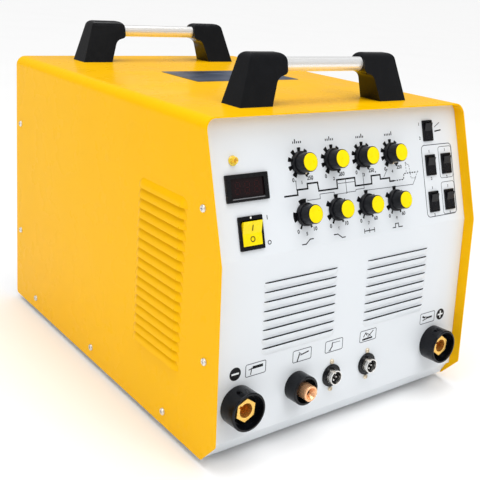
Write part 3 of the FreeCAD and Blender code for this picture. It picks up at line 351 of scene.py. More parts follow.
def sector(bm, place, inner, outer, start, end, thickness=PRINT_THICKNESS):
    """Thin block between two radii and two angles in degrees, clockwise from straight up."""
    near, far = inner * MM, outer * MM
    corners = [(0, near, 0), (0, far, 0), (0, far, thickness), (0, near, thickness)]
    turn = place @ Matrix.Rotation(math.radians(-start), 4, "Z")
    face = bm.faces.new([bm.verts.new(turn @ Vector(c)) for c in corners])
    axis = place.to_3x3() @ Vector((0, 0, 1))
    steps = max(2, round((end - start) / SECTOR_STEP))
    bmesh.ops.spin(bm, geom=[face, *face.verts, *face.edges], cent=place.translation, axis=axis,
                   angle=math.radians(start - end), steps=steps, use_duplicate=False)


def rounded_outline(bm, face, x, up, width, height, radius, line):
    """Thin rounded frame round a place of a face; sizes in millimetres."""
    for side in (-1, 1):
        bar(bm, spot(face, x, up + side * (height - line) / 2), width - 2 * radius, line)
        bar(bm, spot(face, x + side * (width - line) / 2, up), line, height - 2 * radius)
    for quarter, (right, high) in enumerate(((1, 1), (1, -1), (-1, -1), (-1, 1))):
        corner = spot(face, x + right * (width / 2 - radius), up + high * (height / 2 - radius))
        sector(bm, corner, radius - line, radius, 90 * quarter, 90 * quarter + 90)


def stroke(bm, face, points, width, dashes=None):
    """Printed line through points of a face, in millimetres; dashes is (mark, gap)."""
    for (x0, y0), (x1, y1) in zip(points, points[1:]):
        length = math.hypot(x1 - x0, y1 - y0)
        turn = math.degrees(math.atan2(y1 - y0, x1 - x0))
        if dashes is None:
            marks = [(length / 2, length + width)]
        else:
            mark, gap = dashes
            count = max(1, round(length / (mark + gap)))
            pitch = length / count
            marks = [((k + 0.5) * pitch, pitch * mark / (mark + gap)) for k in range(count)]
        for middle, span in marks:
            share = middle / length
            x, y = x0 + (x1 - x0) * share, y0 + (y1 - y0) * share
            bar(bm, spot(face, x, y, turn=turn), span, width)


def number(bm, words, place, size):
    """Printed number, centred on a place; size in millimetres."""
    curve = bpy.data.curves.new("number", "FONT")
    curve.body = words
    curve.size = size * MM
    curve.align_x = "CENTER"
    curve.align_y = "CENTER"
    curve.extrude = PRINT_THICKNESS / 2
    curve.offset = NUMBER_BOLD * MM
    holder = bpy.data.objects.new("number", curve)
    bpy.context.scene.collection.objects.link(holder)
    bpy.context.view_layer.update()
    mesh = bpy.data.meshes.new_from_object(holder)
    mesh.transform(place @ Matrix.Translation((0, 0, PRINT_THICKNESS / 2)))
    bm.from_mesh(mesh)
    bpy.data.objects.remove(holder)
    bpy.data.curves.remove(curve)
    bpy.data.meshes.remove(mesh)
    bmesh.ops.remove_doubles(bm, verts=bm.verts, dist=WELD)


def lathe(bm, profile, place, segments=48):
    """Solid of revolution about local Z from (radius, height) points in millimetres."""
    verts = [bm.verts.new((r * MM, 0, z * MM)) for r, z in profile]
    edges = [bm.edges.new(pair) for pair in zip(verts, verts[1:])]
    bmesh.ops.spin(bm, geom=verts + edges, cent=(0, 0, 0), axis=(0, 0, 1), angle=math.tau,
                   steps=segments, use_merge=True, use_duplicate=False)
    bmesh.ops.remove_doubles(bm, verts=bm.verts, dist=WELD)
    bmesh.ops.transform(bm, matrix=place, verts=bm.verts)


# ---- settings ----
def colour_property(name, words, value):
    return FloatVectorProperty(name=name, description=words, default=value, subtype="COLOR",
                               size=3, min=0.0, max=1.0)


def length_property(name, words, value):
    """Length in millimetres."""
    return FloatProperty(name=name, description=words, default=value, min=0.0)


class WelderCaseSettings(bpy.types.PropertyGroup):
    coat: colour_property("Powder coat", "Colour of the case", (0.985, 0.53, 0.001))
    coat_shade: colour_property("Coat shade", "Deeper tone of the same powder",
                                (0.95, 0.46, 0.001))
    panel: colour_property("Panel", "Paint of the front and rear panels", (0.80, 0.835, 0.87))
    panel_shade: colour_property("Panel shade", "Duller tone of the same paint",
                                 (0.74, 0.78, 0.82))
    plate: colour_property("Top plate", "Blank plate on the case's top", (0.10, 0.13, 0.21))
    ink: colour_property("Ink", "Printed marks", (0.003, 0.003, 0.004))
    pale_ink: colour_property("Pale ink", "Thin secondary lines", (0.10, 0.11, 0.125))


class WelderControlSettings(bpy.types.PropertyGroup):
    cap: colour_property("Caps", "Knob caps and power rocker", (1.0, 0.80, 0.0))
    knob: colour_property("Knobs", "Knob bodies", (0.004, 0.0045, 0.007))
    lens: colour_property("Lens", "Pilot lamp", (1.0, 0.72, 0.03))
    tick: length_property("Tick", "Width of a dial block, mm", 5.0)
    digit: length_property("Digit", "Height of a meter digit, mm", 13.0)


class WelderSocketSettings(bpy.types.PropertyGroup):
    brass: colour_property("Brass", "Hexagonal contacts", (0.95, 0.58, 0.14))
    copper: colour_property("Copper", "Torch fitting", (0.97, 0.55, 0.30))
    shell: colour_property("Insulation", "Socket cups", (0.003, 0.0035, 0.0055))


SETTINGS = (("welder_case", WelderCaseSettings), ("welder_controls", WelderControlSettings),
            ("welder_sockets", WelderSocketSettings))


# ---- case ----
class WELDER_OT_case(bpy.types.Operator):
    """Finishes the cover, tray, feet, case screws and the blank top plate"""
    bl_idname = "welder.case"
    bl_label = "Case"

    def execute(self, context):
        case = context.scene.welder_case
        powder_coat("powder coat", case.coat, case.coat_shade, 0.24)
        satin_paint("tray paint", case.panel, case.panel_shade, 0.5)
        rubber = Finish("foot rubber", (0.02, 0.02, 0.02), 0.8)
        rubber.tint(rubber.noise(120.0), (0.06, 0.058, 0.055), 0.5, 0.8, 0.7)
        rubber.bump(rubber.noise(600.0, detail=5.0), 0.12, 0.6)
        machined("bright screw", (0.80, 0.79, 0.77), 0.28, (0.55, 0.52, 0.48), metallic=0.75)
        plate = Finish("top plate", case.plate, 0.3, metallic=0.75)
        streaks = plate.noise(1.0, detail=6.0, stretch=(14.0, 500.0, 1.0), turn=(0, 0, 0.5))
        plate.tint(streaks, (0.40, 0.46, 0.58), 0.5, 0.75, 0.9)
        plate.tint(plate.noise(30.0, detail=5.0), (0.03, 0.04, 0.07), 0.5, 0.7, 0.8)
        plate.gloss(streaks, 0.22, 0.48)
        dress("powder coat", "cover")
        dress("tray paint", "floor_tray")
        dress("foot rubber", "rubber_feet")
        dress("bright screw", "case_screws")
        dress("top plate", "top_plate")
        return {"FINISHED"}


class WELDER_OT_panels(bpy.types.Operator):
    """Finishes the folded front and rear panels"""
    bl_idname = "welder.panels"
    bl_label = "Panels"

    def execute(self, context):
        case = context.scene.welder_case
        satin_paint("panel paint", case.panel, case.panel_shade, 0.42)
        dress("panel paint", "front_panel", "rear_panel")
        return {"FINISHED"}


class WELDER_OT_handles(bpy.types.Operator):
    """Finishes the handle brackets, grip tubes and bolts"""
    bl_idname = "welder.handles"
    bl_label = "Carry handles"

    def execute(self, context):
        black = Finish("handle plastic", (0.0025, 0.003, 0.0045), 0.2, Coat_Weight=0.1,
                       Coat_Roughness=0.08, Specular_IOR_Level=0.3)
        black.tint(black.noise(40.0), (0.005, 0.006, 0.009), 0.5, 0.85, 0.7)
        black.gloss(black.noise(90.0, detail=3.0), 0.16, 0.26)
        black.bump(black.noise(700.0), 0.01, 0.3)
        drawn("grip tube", (0.95, 0.95, 0.94), 0.26, (0.86, 0.87, 0.89), (6.0, 900.0, 900.0),
              metallic=0.5)
        dress("handle plastic", "handle_brackets_left", "handle_brackets_right")
        dress("grip tube", "handle_grips")
        dress("bright screw", "handle_bolts")
        return {"FINISHED"}


# ---- knobs and dials ----
SKIRT_IN, SKIRT_OUT = 12.6, 14.3        # radii between which the pointer line lies
SKIRT_TOP = 5.4
GRIP_RADIUS = 11.95             # of the knob's grip, half way along the pointer line
POINTER_TURNS = (165.0, 95.0, 95.0, 190.0, 95.0, 95.0, 95.0, 95.0)
POINTER_WIDTH = 2.2
POINTER_RISE = 0.16
POINTER_EDGE = 0.05
# depth, height, radius and lift of the line on the skirt's top, on its edge and along the grip
POINTER_PARTS = ((SKIRT_OUT - SKIRT_IN, POINTER_RISE, (SKIRT_IN + SKIRT_OUT) / 2, SKIRT_TOP),
                 (POINTER_RISE, 3.6, SKIRT_OUT, SKIRT_TOP - 2.2),
                 (0.5, 6.0, GRIP_RADIUS, SKIRT_TOP + 2.9))
UPPER_ROW = 4                   # knobs 1 to 4 stand in the upper row
UPPER_TICKS = [k * 36.0 for k in range(-4, 5)]
LOWER_TICKS = [k * 60.0 for k in range(-2, 3)]
LOWER_TICK_SHARE = 1.25         # of the blocks' width in the upper row
END_TICKS = (-152.0, 152.0)
END_TICK_SHARE = 0.5
WIDE_BLOCK_KNOB = 5
WIDE_BLOCKS = (-96.0, -8.0, 84.0)
WIDE_BLOCK_HALF = 20            # degrees
DIAL_INNER = 13.4
DIAL_OUTER = 18.8
DIAL_ENDS = [("0", "250")] * 4 + [("0", "10")] * 2 + [("0", "60")] * 2
DIAL_END_PLACES = ((-13.0, -19.5), (13.5, -19.0))
DIAL_END_SIZE = 6.6
KNOB_NUMBER_UP = -23.5
KNOB_NUMBER_SIZE = 5.6


class WELDER_OT_knobs(bpy.types.Operator):
    """Finishes the eight knobs and their caps, and adds the pointer line on each skirt"""
    bl_idname = "welder.knobs"
    bl_label = "Knobs"

    def execute(self, context):
        controls = context.scene.welder_controls
        moulded("knob plastic", controls.knob, 0.34)
        cap = Finish("cap plastic", controls.cap, 0.3, Specular_IOR_Level=0.2)
        cap.tint(cap.noise(90.0), (0.98, 0.70, 0.0), 0.45, 0.8, 0.6)
        cap.gloss(cap.noise(260.0), 0.25, 0.4)
        cap.bump(cap.noise(1100.0), 0.02, 0.4)
        ink("pointer ink", (0.80, 0.70, 0.55), 0.5)
        drawn("plated steel", (0.62, 0.61, 0.57), 0.32, (0.42, 0.41, 0.38), (300.0, 300.0, 60.0))
        dress("plated steel", "potentiometers")
        for k in range(1, KNOB_COUNT + 1):
            dress("knob plastic", f"knob_{k}")
            dress("cap plastic", f"knob_cap_{k}")
            self.pointer(k)
        return {"FINISHED"}

    def pointer(self, k):
        """Inlaid line along the grip, over the skirt and down its edge."""
        bm = bmesh.new()
        place = knob_spot(k) @ Matrix.Rotation(math.radians(-POINTER_TURNS[k - 1]), 4, "Z")
        for deep, high, out, lift in POINTER_PARTS:
            at = place @ Matrix.Translation((0, out * MM, lift * MM))
            size = Matrix.Diagonal((POINTER_WIDTH * MM, deep * MM, high * MM, 1))
            bmesh.ops.create_cube(bm, size=1, matrix=at @ size)
        bmesh.ops.bevel(bm, geom=bm.edges[:], offset=POINTER_EDGE * MM, segments=2,
                        profile=0.5, affect="EDGES", material=-1)
        new_piece(f"knob_pointer_{k}", bm, f"knob_{k}", "pointer ink")


class WELDER_OT_dials(bpy.types.Operator):
    """Prints the dial blocks and numbers round the knobs"""
    bl_idname = "welder.dials"
    bl_label = "Dials"

    def execute(self, context):
        case = context.scene.welder_case
        ink("black ink", case.ink, 0.45)
        ink("grey ink", case.pale_ink, 0.5)
        ink("white ink and glint", (0.85, 0.87, 0.88), 0.4)
        tick = context.scene.welder_controls.tick
        blocks, numbers = bmesh.new(), bmesh.new()
        for k in range(1, KNOB_COUNT + 1):
            place = knob_spot(k)
            if k <= UPPER_ROW:
                self.ring(blocks, place, UPPER_TICKS, tick)
            elif k == WIDE_BLOCK_KNOB:
                for middle in WIDE_BLOCKS:
                    sector(blocks, place, DIAL_INNER, DIAL_OUTER, middle - WIDE_BLOCK_HALF,
                           middle + WIDE_BLOCK_HALF)
            else:
                self.ring(blocks, place, LOWER_TICKS, tick * LOWER_TICK_SHARE)
            self.ring(blocks, place, END_TICKS, tick * END_TICK_SHARE)
            self.numbers(numbers, place, k)
        printed("dial_blocks", blocks)
        printed("dial_numbers", numbers)
        return {"FINISHED"}

    def ring(self, bm, place, turns, width):
        for turn in turns:
            half = math.degrees(width / (DIAL_INNER + DIAL_OUTER))
            sector(bm, place, DIAL_INNER, DIAL_OUTER, turn - half, turn + half)

    def numbers(self, bm, place, k):
        for words, (x, up) in zip(DIAL_ENDS[k - 1], DIAL_END_PLACES):
            number(bm, words, place @ Matrix.Translation((x * MM, up * MM, 0)), DIAL_END_SIZE)
        below = place @ Matrix.Translation((0, KNOB_NUMBER_UP * MM, 0))
        number(bm, str(k), below, KNOB_NUMBER_SIZE)


# ---- printed cycle diagram ----
CYCLE = [(-107, 66), (-87, 66), (-87, 72), (-70.5, 72), (-70.5, 78), (-54, 78), (-53, 67.5),
         (-22, 67.5), (-22, 78), (9, 78), (9, 67.5), (38.5, 67.5), (38.5, 77.6), (54.8, 77.6),
         (54.8, 72), (72, 72), (72, 67.4), (79, 67.4)]
CYCLE_TAIL = [(79, 67.4), (98.5, 67.6), (100, 75.2), (124, 75.2)]
CYCLE_LOOP = [(105, 76), (105, 88), (111, 86), (113.5, 68), (121.5, 67.5), (127, 75.5)]
THIN_LINES = [[(-71, 58), (-52, 58), (-52, 63.5), (-28.5, 63.5), (-28.5, 60.5), (-7, 60.5),
               (-7, 77)],
              [(-20, 73.2), (8, 73.2)], [(-6, 61), (8.5, 61), (9.5, 63), (24, 63), (24, 81)],
              [(24.4, 60.3), (116, 59.3), (123, 68.5)], [(-88, 72), (-88, 82)],
              [(-28.5, 60.5), (-28.5, 56)], [(62, 74.5), (68, 82)]]
THICK, THIN = 2.0, 0.8          # widths of the printed lines
TAIL_WIDTH = 1.4
TAIL_DASHES = (3.2, 1.8)
LOOP_DASHES = (2.4, 1.2)
ARROW_RADIUS = 1.5
ARROWS = [(-72, 58, 180), (-88, 82.5, 0), (24, 82, 0), (127.5, 75.5, -90), (-7, 60.5, 180),
          (68.5, 83, -30), (-62, 82.5, 0), (105, 89, 0), (-14, 84, 0), (47, 82, 0)]


class WELDER_OT_diagram(bpy.types.Operator):
    """Prints the current cycle between the two rows of knobs"""
    bl_idname = "welder.diagram"
    bl_label = "Cycle diagram"

    def execute(self, context):
        thick, thin = bmesh.new(), bmesh.new()
        stroke(thick, UPPER, CYCLE, THICK)
        stroke(thick, UPPER, CYCLE_TAIL, TAIL_WIDTH, TAIL_DASHES)
        for points in THIN_LINES:
            stroke(thin, UPPER, points, THIN)
        stroke(thin, UPPER, CYCLE_LOOP, THIN, LOOP_DASHES)
        for x, up, turn in ARROWS:
            self.arrow(thin, x, up, turn)
        printed("cycle_line", thick)
        printed("cycle_details", thin, "grey ink")
        return {"FINISHED"}

    def arrow(self, bm, x, up, turn):
        place = spot(UPPER, x, up, PRINT_THICKNESS / 2, turn + 90)
        bmesh.ops.create_cone(bm, cap_ends=True, segments=3, radius1=ARROW_RADIUS * MM,
                              radius2=ARROW_RADIUS * MM, depth=PRINT_THICKNESS, matrix=place)


# ---- meter and lamp ----
METER = (-161.3, 82.5)
METER_GLASS_LIFT = 1.2
# size, drop and lift of the painted highlight strip on the bezel's lower lip
METER_LIP = (46.0, 0.9)
METER_LIP_DROP = 12.2
METER_LIP_LIFT = 3.2
DIGIT_PITCH = 13.6
DIGIT_HALF_WIDTH = 0.25         # this and the next four are shares of a digit's height
DIGIT_LEAN = 0.04
SEGMENT_ACROSS, SEGMENT_UPRIGHT = 0.36, 0.38
SEGMENT_WIDTH = 0.085
SEGMENT_POINT = 0.04
SEGMENT_THICKNESS = 0.05 * MM
LAMP = (-177.0, 113.8)
LAMP_CORE = (3.0, 2.4)          # radii over which the lens darkens to its middle
LAMP_PROFILE = [(0, -10), (4.4, -10), (4.4, 0.2), (5.9, 0.2), (5.9, 1.1), (5.4, 1.55),
                (4.9, 1.6), (4.55, 1.9), (4.5, 4.6), (4.2, 5.7), (3.7, 6.3), (3.1, 6.45),
                (2.7, 6.2), (2.2, 5.4), (1.5, 5.15), (1.2, 5.5), (0.6, 5.8), (0, 5.9)]
# side, level and turn of each segment of a digit
SEGMENTS = ((0, 1, 0), (0, 0, 0), (0, -1, 0), (-1, 0.5, 90), (1, 0.5, 90), (-1, -0.5, 90),
            (1, -0.5, 90))


class WELDER_OT_meter(bpy.types.Operator):
    """Finishes the digital meter, adds its three unlit digits and a painted highlight line on the bezel's lower
    lip
    """
    bl_idname = "welder.meter"
    bl_label = "Meter"

    def execute(self, context):
        moulded("bezel plastic", (0.006, 0.006, 0.007), 0.3)
        window = Finish("meter window", (0.010, 0.005, 0.006), 0.12, Specular_IOR_Level=0.3)
        window.tint(window.noise(25.0), (0.018, 0.009, 0.010), 0.4, 0.8, 0.7)
        window.bump(window.noise(200.0), 0.01, 0.2)
        ink("digit", (0.030, 0.007, 0.008), 0.35)
        # pale grey ink for the painted highlight on the bezel's lower lip
        ink("painted lip highlight", (0.22, 0.22, 0.23), 0.3)
        dress("bezel plastic", "meter_bezel")
        dress("meter window", "meter_window")
        height = context.scene.welder_controls.digit
        bm = bmesh.new()
        for column in (-1, 0, 1):
            self.digit(bm, column * DIGIT_PITCH, height)
        new_piece("meter_digits", bm, CASE, "digit")
        # Painted highlight: a pale grey strip along the bezel's lower lip stands in for light caught on that edge.
        lip = bmesh.new()
        x, up = METER
        bar(lip, spot(UPPER, x, up - METER_LIP_DROP, METER_LIP_LIFT * MM), *METER_LIP)
        printed("meter_lip_highlight", lip, "painted lip highlight")
        return {"FINISHED"}

    def digit(self, bm, shift, height):
        for side, level, turn in SEGMENTS:
            x = METER[0] + shift + (side * DIGIT_HALF_WIDTH + level * DIGIT_LEAN) * height
            up = METER[1] + level * height / 2
            place = spot(UPPER, x, up, METER_GLASS_LIFT * MM, turn)
            length = height * (SEGMENT_ACROSS if turn == 0 else SEGMENT_UPRIGHT)
            verts = bar(bm, place, length, height * SEGMENT_WIDTH, SEGMENT_THICKNESS)
            ends = [e for e in {e for v in verts for e in v.link_edges}
                    if abs(e.calc_length() - SEGMENT_THICKNESS) < WELD]
            bmesh.ops.bevel(bm, geom=ends, offset=height * SEGMENT_POINT * MM, segments=1,
                            profile=0.5, affect="EDGES", material=-1)


class WELDER_OT_lamp(bpy.types.Operator):
    """Replaces the pilot lamp by a ribbed lens in its ring"""
    bl_idname = "welder.lamp"
    bl_label = "Pilot lamp"

    def execute(self, context):
        colour = context.scene.welder_controls.lens
        glass = Finish("lamp lens", colour, 0.12, Transmission_Weight=0.08, IOR=1.49,
                       Coat_Weight=0.5, Subsurface_Weight=0.3, Subsurface_Scale=0.002)
        glass.tint(glass.noise(350.0), (0.95, 0.60, 0.02), 0.45, 0.8, 0.5)
        place = spot(UPPER, *LAMP)
        distance = glass.radius(glass.about(place))
        glass.tint(distance, (0.70, 0.36, 0.0), *(r * MM for r in LAMP_CORE), 0.8)
        glass.bump(glass.noise(300.0), 0.03, 0.3)
        lens = bmesh.new()
        lathe(lens, LAMP_PROFILE, place)
        piece = new_piece("pilot_lamp_lens", lens, CASE, "lamp lens")
        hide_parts("pilot_lamp")
        return {"FINISHED"}


# ---- rocker switches ----
POWER = (-162.0, 30.8)
POWER_TILT = 9.0                # degrees between each half of the rocker and its middle plane
POWER_FACE_LIFT = 2.3           # of the ridge between the halves, ahead of the pivot
POWER_MARK_UP = 6.6
POWER_MARK_LIFT = 0.06
POWER_MARK_THICKNESS = 0.1 * MM
POWER_BAR = (1.3, 7.0)
POWER_RING = (2.3, 3.4, 0, 355)         # radii and angles
SIDE_MARK_X, SIDE_MARK_UP, SIDE_MARK_SIZE = 25.5, 14.5, 7.0
# profile, place and segments of the white dome that is a painted highlight above the power rocker
PIP_PROFILE = [(0, 0), (1.3, 0), (1.3, 0.25), (0.9, 0.5), (0, 0.55)]
PIP_UP, PIP_LIFT, PIP_SEGMENTS = 17.2, 2.6, 24
SELECTORS = ((154.5, 129.0), (154.5, 82.0), (187.0, 82.0), (154.5, 32.0), (187.0, 32.0))
# middle, width, height, corner radius and line width
SELECTOR_OUTLINES = ((170.3, 60.5, 63.0, 99.0, 6.5, 1.1), (186.9, 84.0, 28.0, 44.0, 4.0, 0.8),
                     (186.9, 34.5, 28.0, 45.0, 4.0, 0.8))
# shift to the side, distance up and down, and size of a selector's two numbers
LONE_NUMBERS = (-16.0, 9.5, 5.6)
GROUP_NUMBERS = (0.0, 18.6, 5.2)
SELECTOR_STROKES = (([(170.5, 133.5), (181, 139)], 0.9), ([(170.5, 127.5), (182, 128.6)], 1.8))
ROCKER_PIVOT = 0.5


class WELDER_OT_switches(bpy.types.Operator):
    """Finishes the rockers and their frames, prints the marks beside and on them and adds a painted highlight dot
    above the power rocker
    """
    bl_idname = "welder.switches"
    bl_label = "Switches"

    def execute(self, context):
        controls = context.scene.welder_controls
        moulded("switch plastic", (0.006, 0.006, 0.008), 0.22)
        rocker = Finish("power rocker", controls.cap, 0.22, Specular_IOR_Level=0.3)
        rocker.tint(rocker.noise(45.0), (0.92, 0.62, 0.0), 0.4, 0.8, 0.7)
        rocker.gloss(rocker.noise(130.0), 0.2, 0.36)
        rocker.bump(rocker.noise(1000.0), 0.02, 0.35)
        ink("brown ink", (0.09, 0.05, 0.01), 0.4)
        dress("switch plastic", "power_switch_frame", "selector_frames")
        dress("power rocker", "power_rocker")
        for k in range(1, SELECTOR_COUNT + 1):
            dress("switch plastic", f"selector_rocker_{k}")
        self.power_marks()
        self.selector_marks()
        return {"FINISHED"}

    def on_half(self, up):
        """Place on the power rocker's upper (1) or lower (-1) half."""
        pivot = spot(UPPER, *POWER, ROCKER_PIVOT * MM)
        turned = pivot @ Matrix.Rotation(math.radians(POWER_TILT), 4, "X")
        ridge = turned @ Matrix.Translation((0, 0, POWER_FACE_LIFT * MM))
        half = ridge @ Matrix.Rotation(math.radians(up * POWER_TILT), 4, "X")
        return half @ Matrix.Translation((0, up * POWER_MARK_UP * MM, POWER_MARK_LIFT * MM))

    def power_marks(self):
        bm = bmesh.new()
        bar(bm, self.on_half(1), *POWER_BAR, POWER_MARK_THICKNESS)
        sector(bm, self.on_half(-1), *POWER_RING, POWER_MARK_THICKNESS)
        new_piece("power_marks", bm, "power_rocker", "brown ink")
        x, up = POWER
        bm = bmesh.new()
        for words, side in (("I", 1), ("O", -1)):
            place = spot(UPPER, x + SIDE_MARK_X, up + side * SIDE_MARK_UP)
            number(bm, words, place, SIDE_MARK_SIZE)
        printed("power_side_marks", bm)
        # Painted highlight: a small white dome above the power rocker stands in for a glint.
        bm = bmesh.new()
        lathe(bm, PIP_PROFILE, spot(UPPER, x, up + PIP_UP, PIP_LIFT * MM), PIP_SEGMENTS)
        printed("power_switch_glint_pip", bm, "white ink and glint")

    def selector_marks(self):
        lines, marks = bmesh.new(), bmesh.new()
        for outline in SELECTOR_OUTLINES:
            rounded_outline(lines, UPPER, *outline)
        for k, (x, up) in enumerate(SELECTORS):
            shift, apart, size = GROUP_NUMBERS if k else LONE_NUMBERS
            for side, words in ((1, "1"), (-1, "2")):
                number(marks, words, spot(UPPER, x + shift, up + side * apart), size)
        for points, width in SELECTOR_STROKES:
            stroke(marks, UPPER, points, width)
        printed("selector_outlines", lines, "grey ink")
        printed("selector_marks", marks)


# ---- symbols in place of the dial words ----
LEVEL_SHIFT = (-2.0, 26.0)      # from a knob of the upper row to its row of bars
LEVEL_BARS = 5
LEVEL_PITCH = 3
LEVEL_WIDTH = 1.5
LEVEL_TALL, LEVEL_SHORT = 5.2, 2.6
LEVEL_BASE = 2.4
RAMP_UP = -33.0
RAMP_WIDTH = 1.2
RAMPS = {5: [(-9, -2.4), (-3, -2.4), (4, 2.6), (9, 2.6)],
         6: [(-9, 2.6), (-3, 2.6), (4, -2.4), (9, -2.4)],
         7: [(-9, 0), (9, 0)],
         8: [(-9, -2.4), (-4, -2.4), (-4, 2.6), (2, 2.6), (2, -2.4), (9, -2.4)]}
SPAN_KNOB = 7                   # its line carries three cross strokes
SPAN_STROKES = (-9, 0, 9)
SPAN_HALF = 2.4
SPAN_WIDTH = 1.0


class WELDER_OT_symbols(bpy.types.Operator):
    """Prints small plain signs by the knobs: levels, ramps, a span and a pulse"""
    bl_idname = "welder.symbols"
    bl_label = "Symbols"

    def execute(self, context):
        bm = bmesh.new()
        for k in range(1, KNOB_COUNT + 1):
            centre = UPPER.inverted() @ knob_spot(k).translation
            x, up = centre.x / MM, centre.y / MM
            if k <= UPPER_ROW:
                self.level(bm, x + LEVEL_SHIFT[0], up + LEVEL_SHIFT[1], k)
            else:
                self.ramp(bm, x, up + RAMP_UP, k)
        printed("dial_symbols", bm)
        return {"FINISHED"}

    def level(self, bm, x, up, k):
        """Row of bars, one of them taller."""
        for column in range(LEVEL_BARS):
            tall = LEVEL_TALL if column == k else LEVEL_SHORT
            place = spot(UPPER, x + LEVEL_PITCH * (column - 2), up + tall / 2 - LEVEL_BASE)
            bar(bm, place, LEVEL_WIDTH, tall)

    def ramp(self, bm, x, up, k):
        stroke(bm, UPPER, [(x + dx, up + dy) for dx, dy in RAMPS[k]], RAMP_WIDTH)
        if k == SPAN_KNOB:
            for dx in SPAN_STROKES:
                ends = [(x + dx, up - SPAN_HALF), (x + dx, up + SPAN_HALF)]
                stroke(bm, UPPER, ends, SPAN_WIDTH)


# ---- sockets ----
CONTROL = (-26.6, 37.8)
CONTROL_DROP = 180.0
PIN_CIRCLE = 4.6
TORCH_BORE = 2.6
PIN_COUNT = 5
PIN_PROFILE = [(1.1, 1.6), (1.15, 5.6), (0.8, 6.1), (0, 6.2)]
PIN_SEGMENTS = 20
SIGN_DROP = 139.6
SIGN_X = (-151.2, -78.5, -24.5, 37.2, 156.2)
SIGN_SIZE = (31.0, 16.4)
SIGN_CORNER, SIGN_LINE = 2.6, 1.0
BLACK, GREY = 0, 1
# lines of each framed sign: ink, points about the sign's middle and width
SIGNS = (
    ((BLACK, [(-3, 2.4), (9, 2.4)], 3.6), (BLACK, [(-10, 0.8), (-4, 2.0)], 1.2),
     (BLACK, [(-6, 2), (-7.5, -5.5)], 1.2)),
    ((BLACK, [(-7.5, -6.5), (-4.5, 2.0)], 1.8), (BLACK, [(-2, 0.6), (10, 2.6)], 1.6),
     (GREY, [(-5.5, 4.6), (-1, 1.4)], 0.8)),
    ((BLACK, [(-7, -5.5), (-3.5, -1), (-3, 4)], 1.6), (GREY, [(-3, 4), (10, 3.6)], 0.8),
     (GREY, [(-9, -5.8), (-5, -6.2)], 0.8)),
    ((BLACK, [(-9, -4.6), (7, -4.2)], 2.4), (BLACK, [(-8, -0.5), (-4.5, 4.2), (-2, 0.5)], 1.4),
     (BLACK, [(0, -2), (9, 4.8)], 1.3), (BLACK, [(-1.5, 3), (5, -1.5)], 0.9)),
    ((BLACK, [(-9, 2.6), (0, 0.6), (9, 0.6)], 1.4),
     (BLACK, [(-9, -2.6), (0, -0.6), (9, -0.6)], 1.4), (BLACK, [(-9.5, 2.8), (-6.5, 1.2)], 2.6)))
MINUS = (-181.5, -139.0)
PLUS = (184.0, -140.0)
POLARITY_RADIUS = 8.2
POLARITY_BAR = (10.6, 2.2)
ACROSS_THICKNESS, UPRIGHT_THICKNESS = 0.05 * MM, 0.07 * MM


class WELDER_OT_sockets(bpy.types.Operator):
    """Finishes the welding, torch and control sockets and adds the plug pins"""
    bl_idname = "welder.sockets"
    bl_label = "Sockets"

    def execute(self, context):
        sockets = context.scene.welder_sockets
        moulded("socket plastic", sockets.shell, 0.2, 900.0)
        left = (LOWER.inverted() @ Vector(mount("left_weld_socket")["pos_m"])).x
        right = (LOWER.inverted() @ Vector(mount("right_weld_socket")["pos_m"])).x
        between = spot(LOWER, (left + right) / 2 / MM, -SOCKET_DROP / MM)
        torch = (LOWER.inverted() @ Vector(mount("torch_gas_bore")["pos_m"])) / MM
        controls = spot(LOWER, sum(CONTROL) / 2, -CONTROL_DROP)
        machined("socket brass", sockets.brass, 0.24, (0.85, 0.45, 0.09), between,
                 (right - left) / 2, metallic=0.75)
        # the torch bore's radius sets where painted shade darkens the copper contact
        machined("torch copper", sockets.copper, 0.24, (0.92, 0.46, 0.22),
                 spot(LOWER, torch.x, torch.y), bore_shade_radius=TORCH_BORE * MM, metallic=0.7)
        machined("bright shell", (0.80, 0.79, 0.77), 0.18, (0.55, 0.50, 0.44), controls,
                 (CONTROL[1] - CONTROL[0]) / 2 * MM)
        machined("screw brass", (0.80, 0.70, 0.54), 0.3, (0.55, 0.45, 0.30), metallic=0.7)
        machined("pin plating", (0.93, 0.92, 0.90), 0.2, (0.8, 0.78, 0.74), metallic=0.6)
        dress("socket plastic", "weld_socket_shells", "torch_socket_shell",
              "control_socket_flanges", "control_socket_inserts")
        dress("socket brass", "weld_socket_contacts")
        dress("torch copper", "torch_socket_contact")
        dress("bright shell", "control_socket_shells")
        dress("screw brass", "control_socket_screws")
        pins = bmesh.new()
        for x in CONTROL:
            for k in range(PIN_COUNT):
                turn = math.radians(90 + 360 / PIN_COUNT * (k + 0.5))
                place = spot(LOWER, x + PIN_CIRCLE * math.cos(turn),
                             -CONTROL_DROP + PIN_CIRCLE * math.sin(turn))
                pin = bmesh.new()
                lathe(pin, PIN_PROFILE, place, PIN_SEGMENTS)
                hold = bpy.data.meshes.new("pin")
                pin.to_mesh(hold)
                pin.free()
                pins.from_mesh(hold)
                bpy.data.meshes.remove(hold)
        bmesh.ops.holes_fill(pins, edges=pins.edges)
        new_piece("control_pins", pins, CASE, "pin plating")
        return {"FINISHED"}


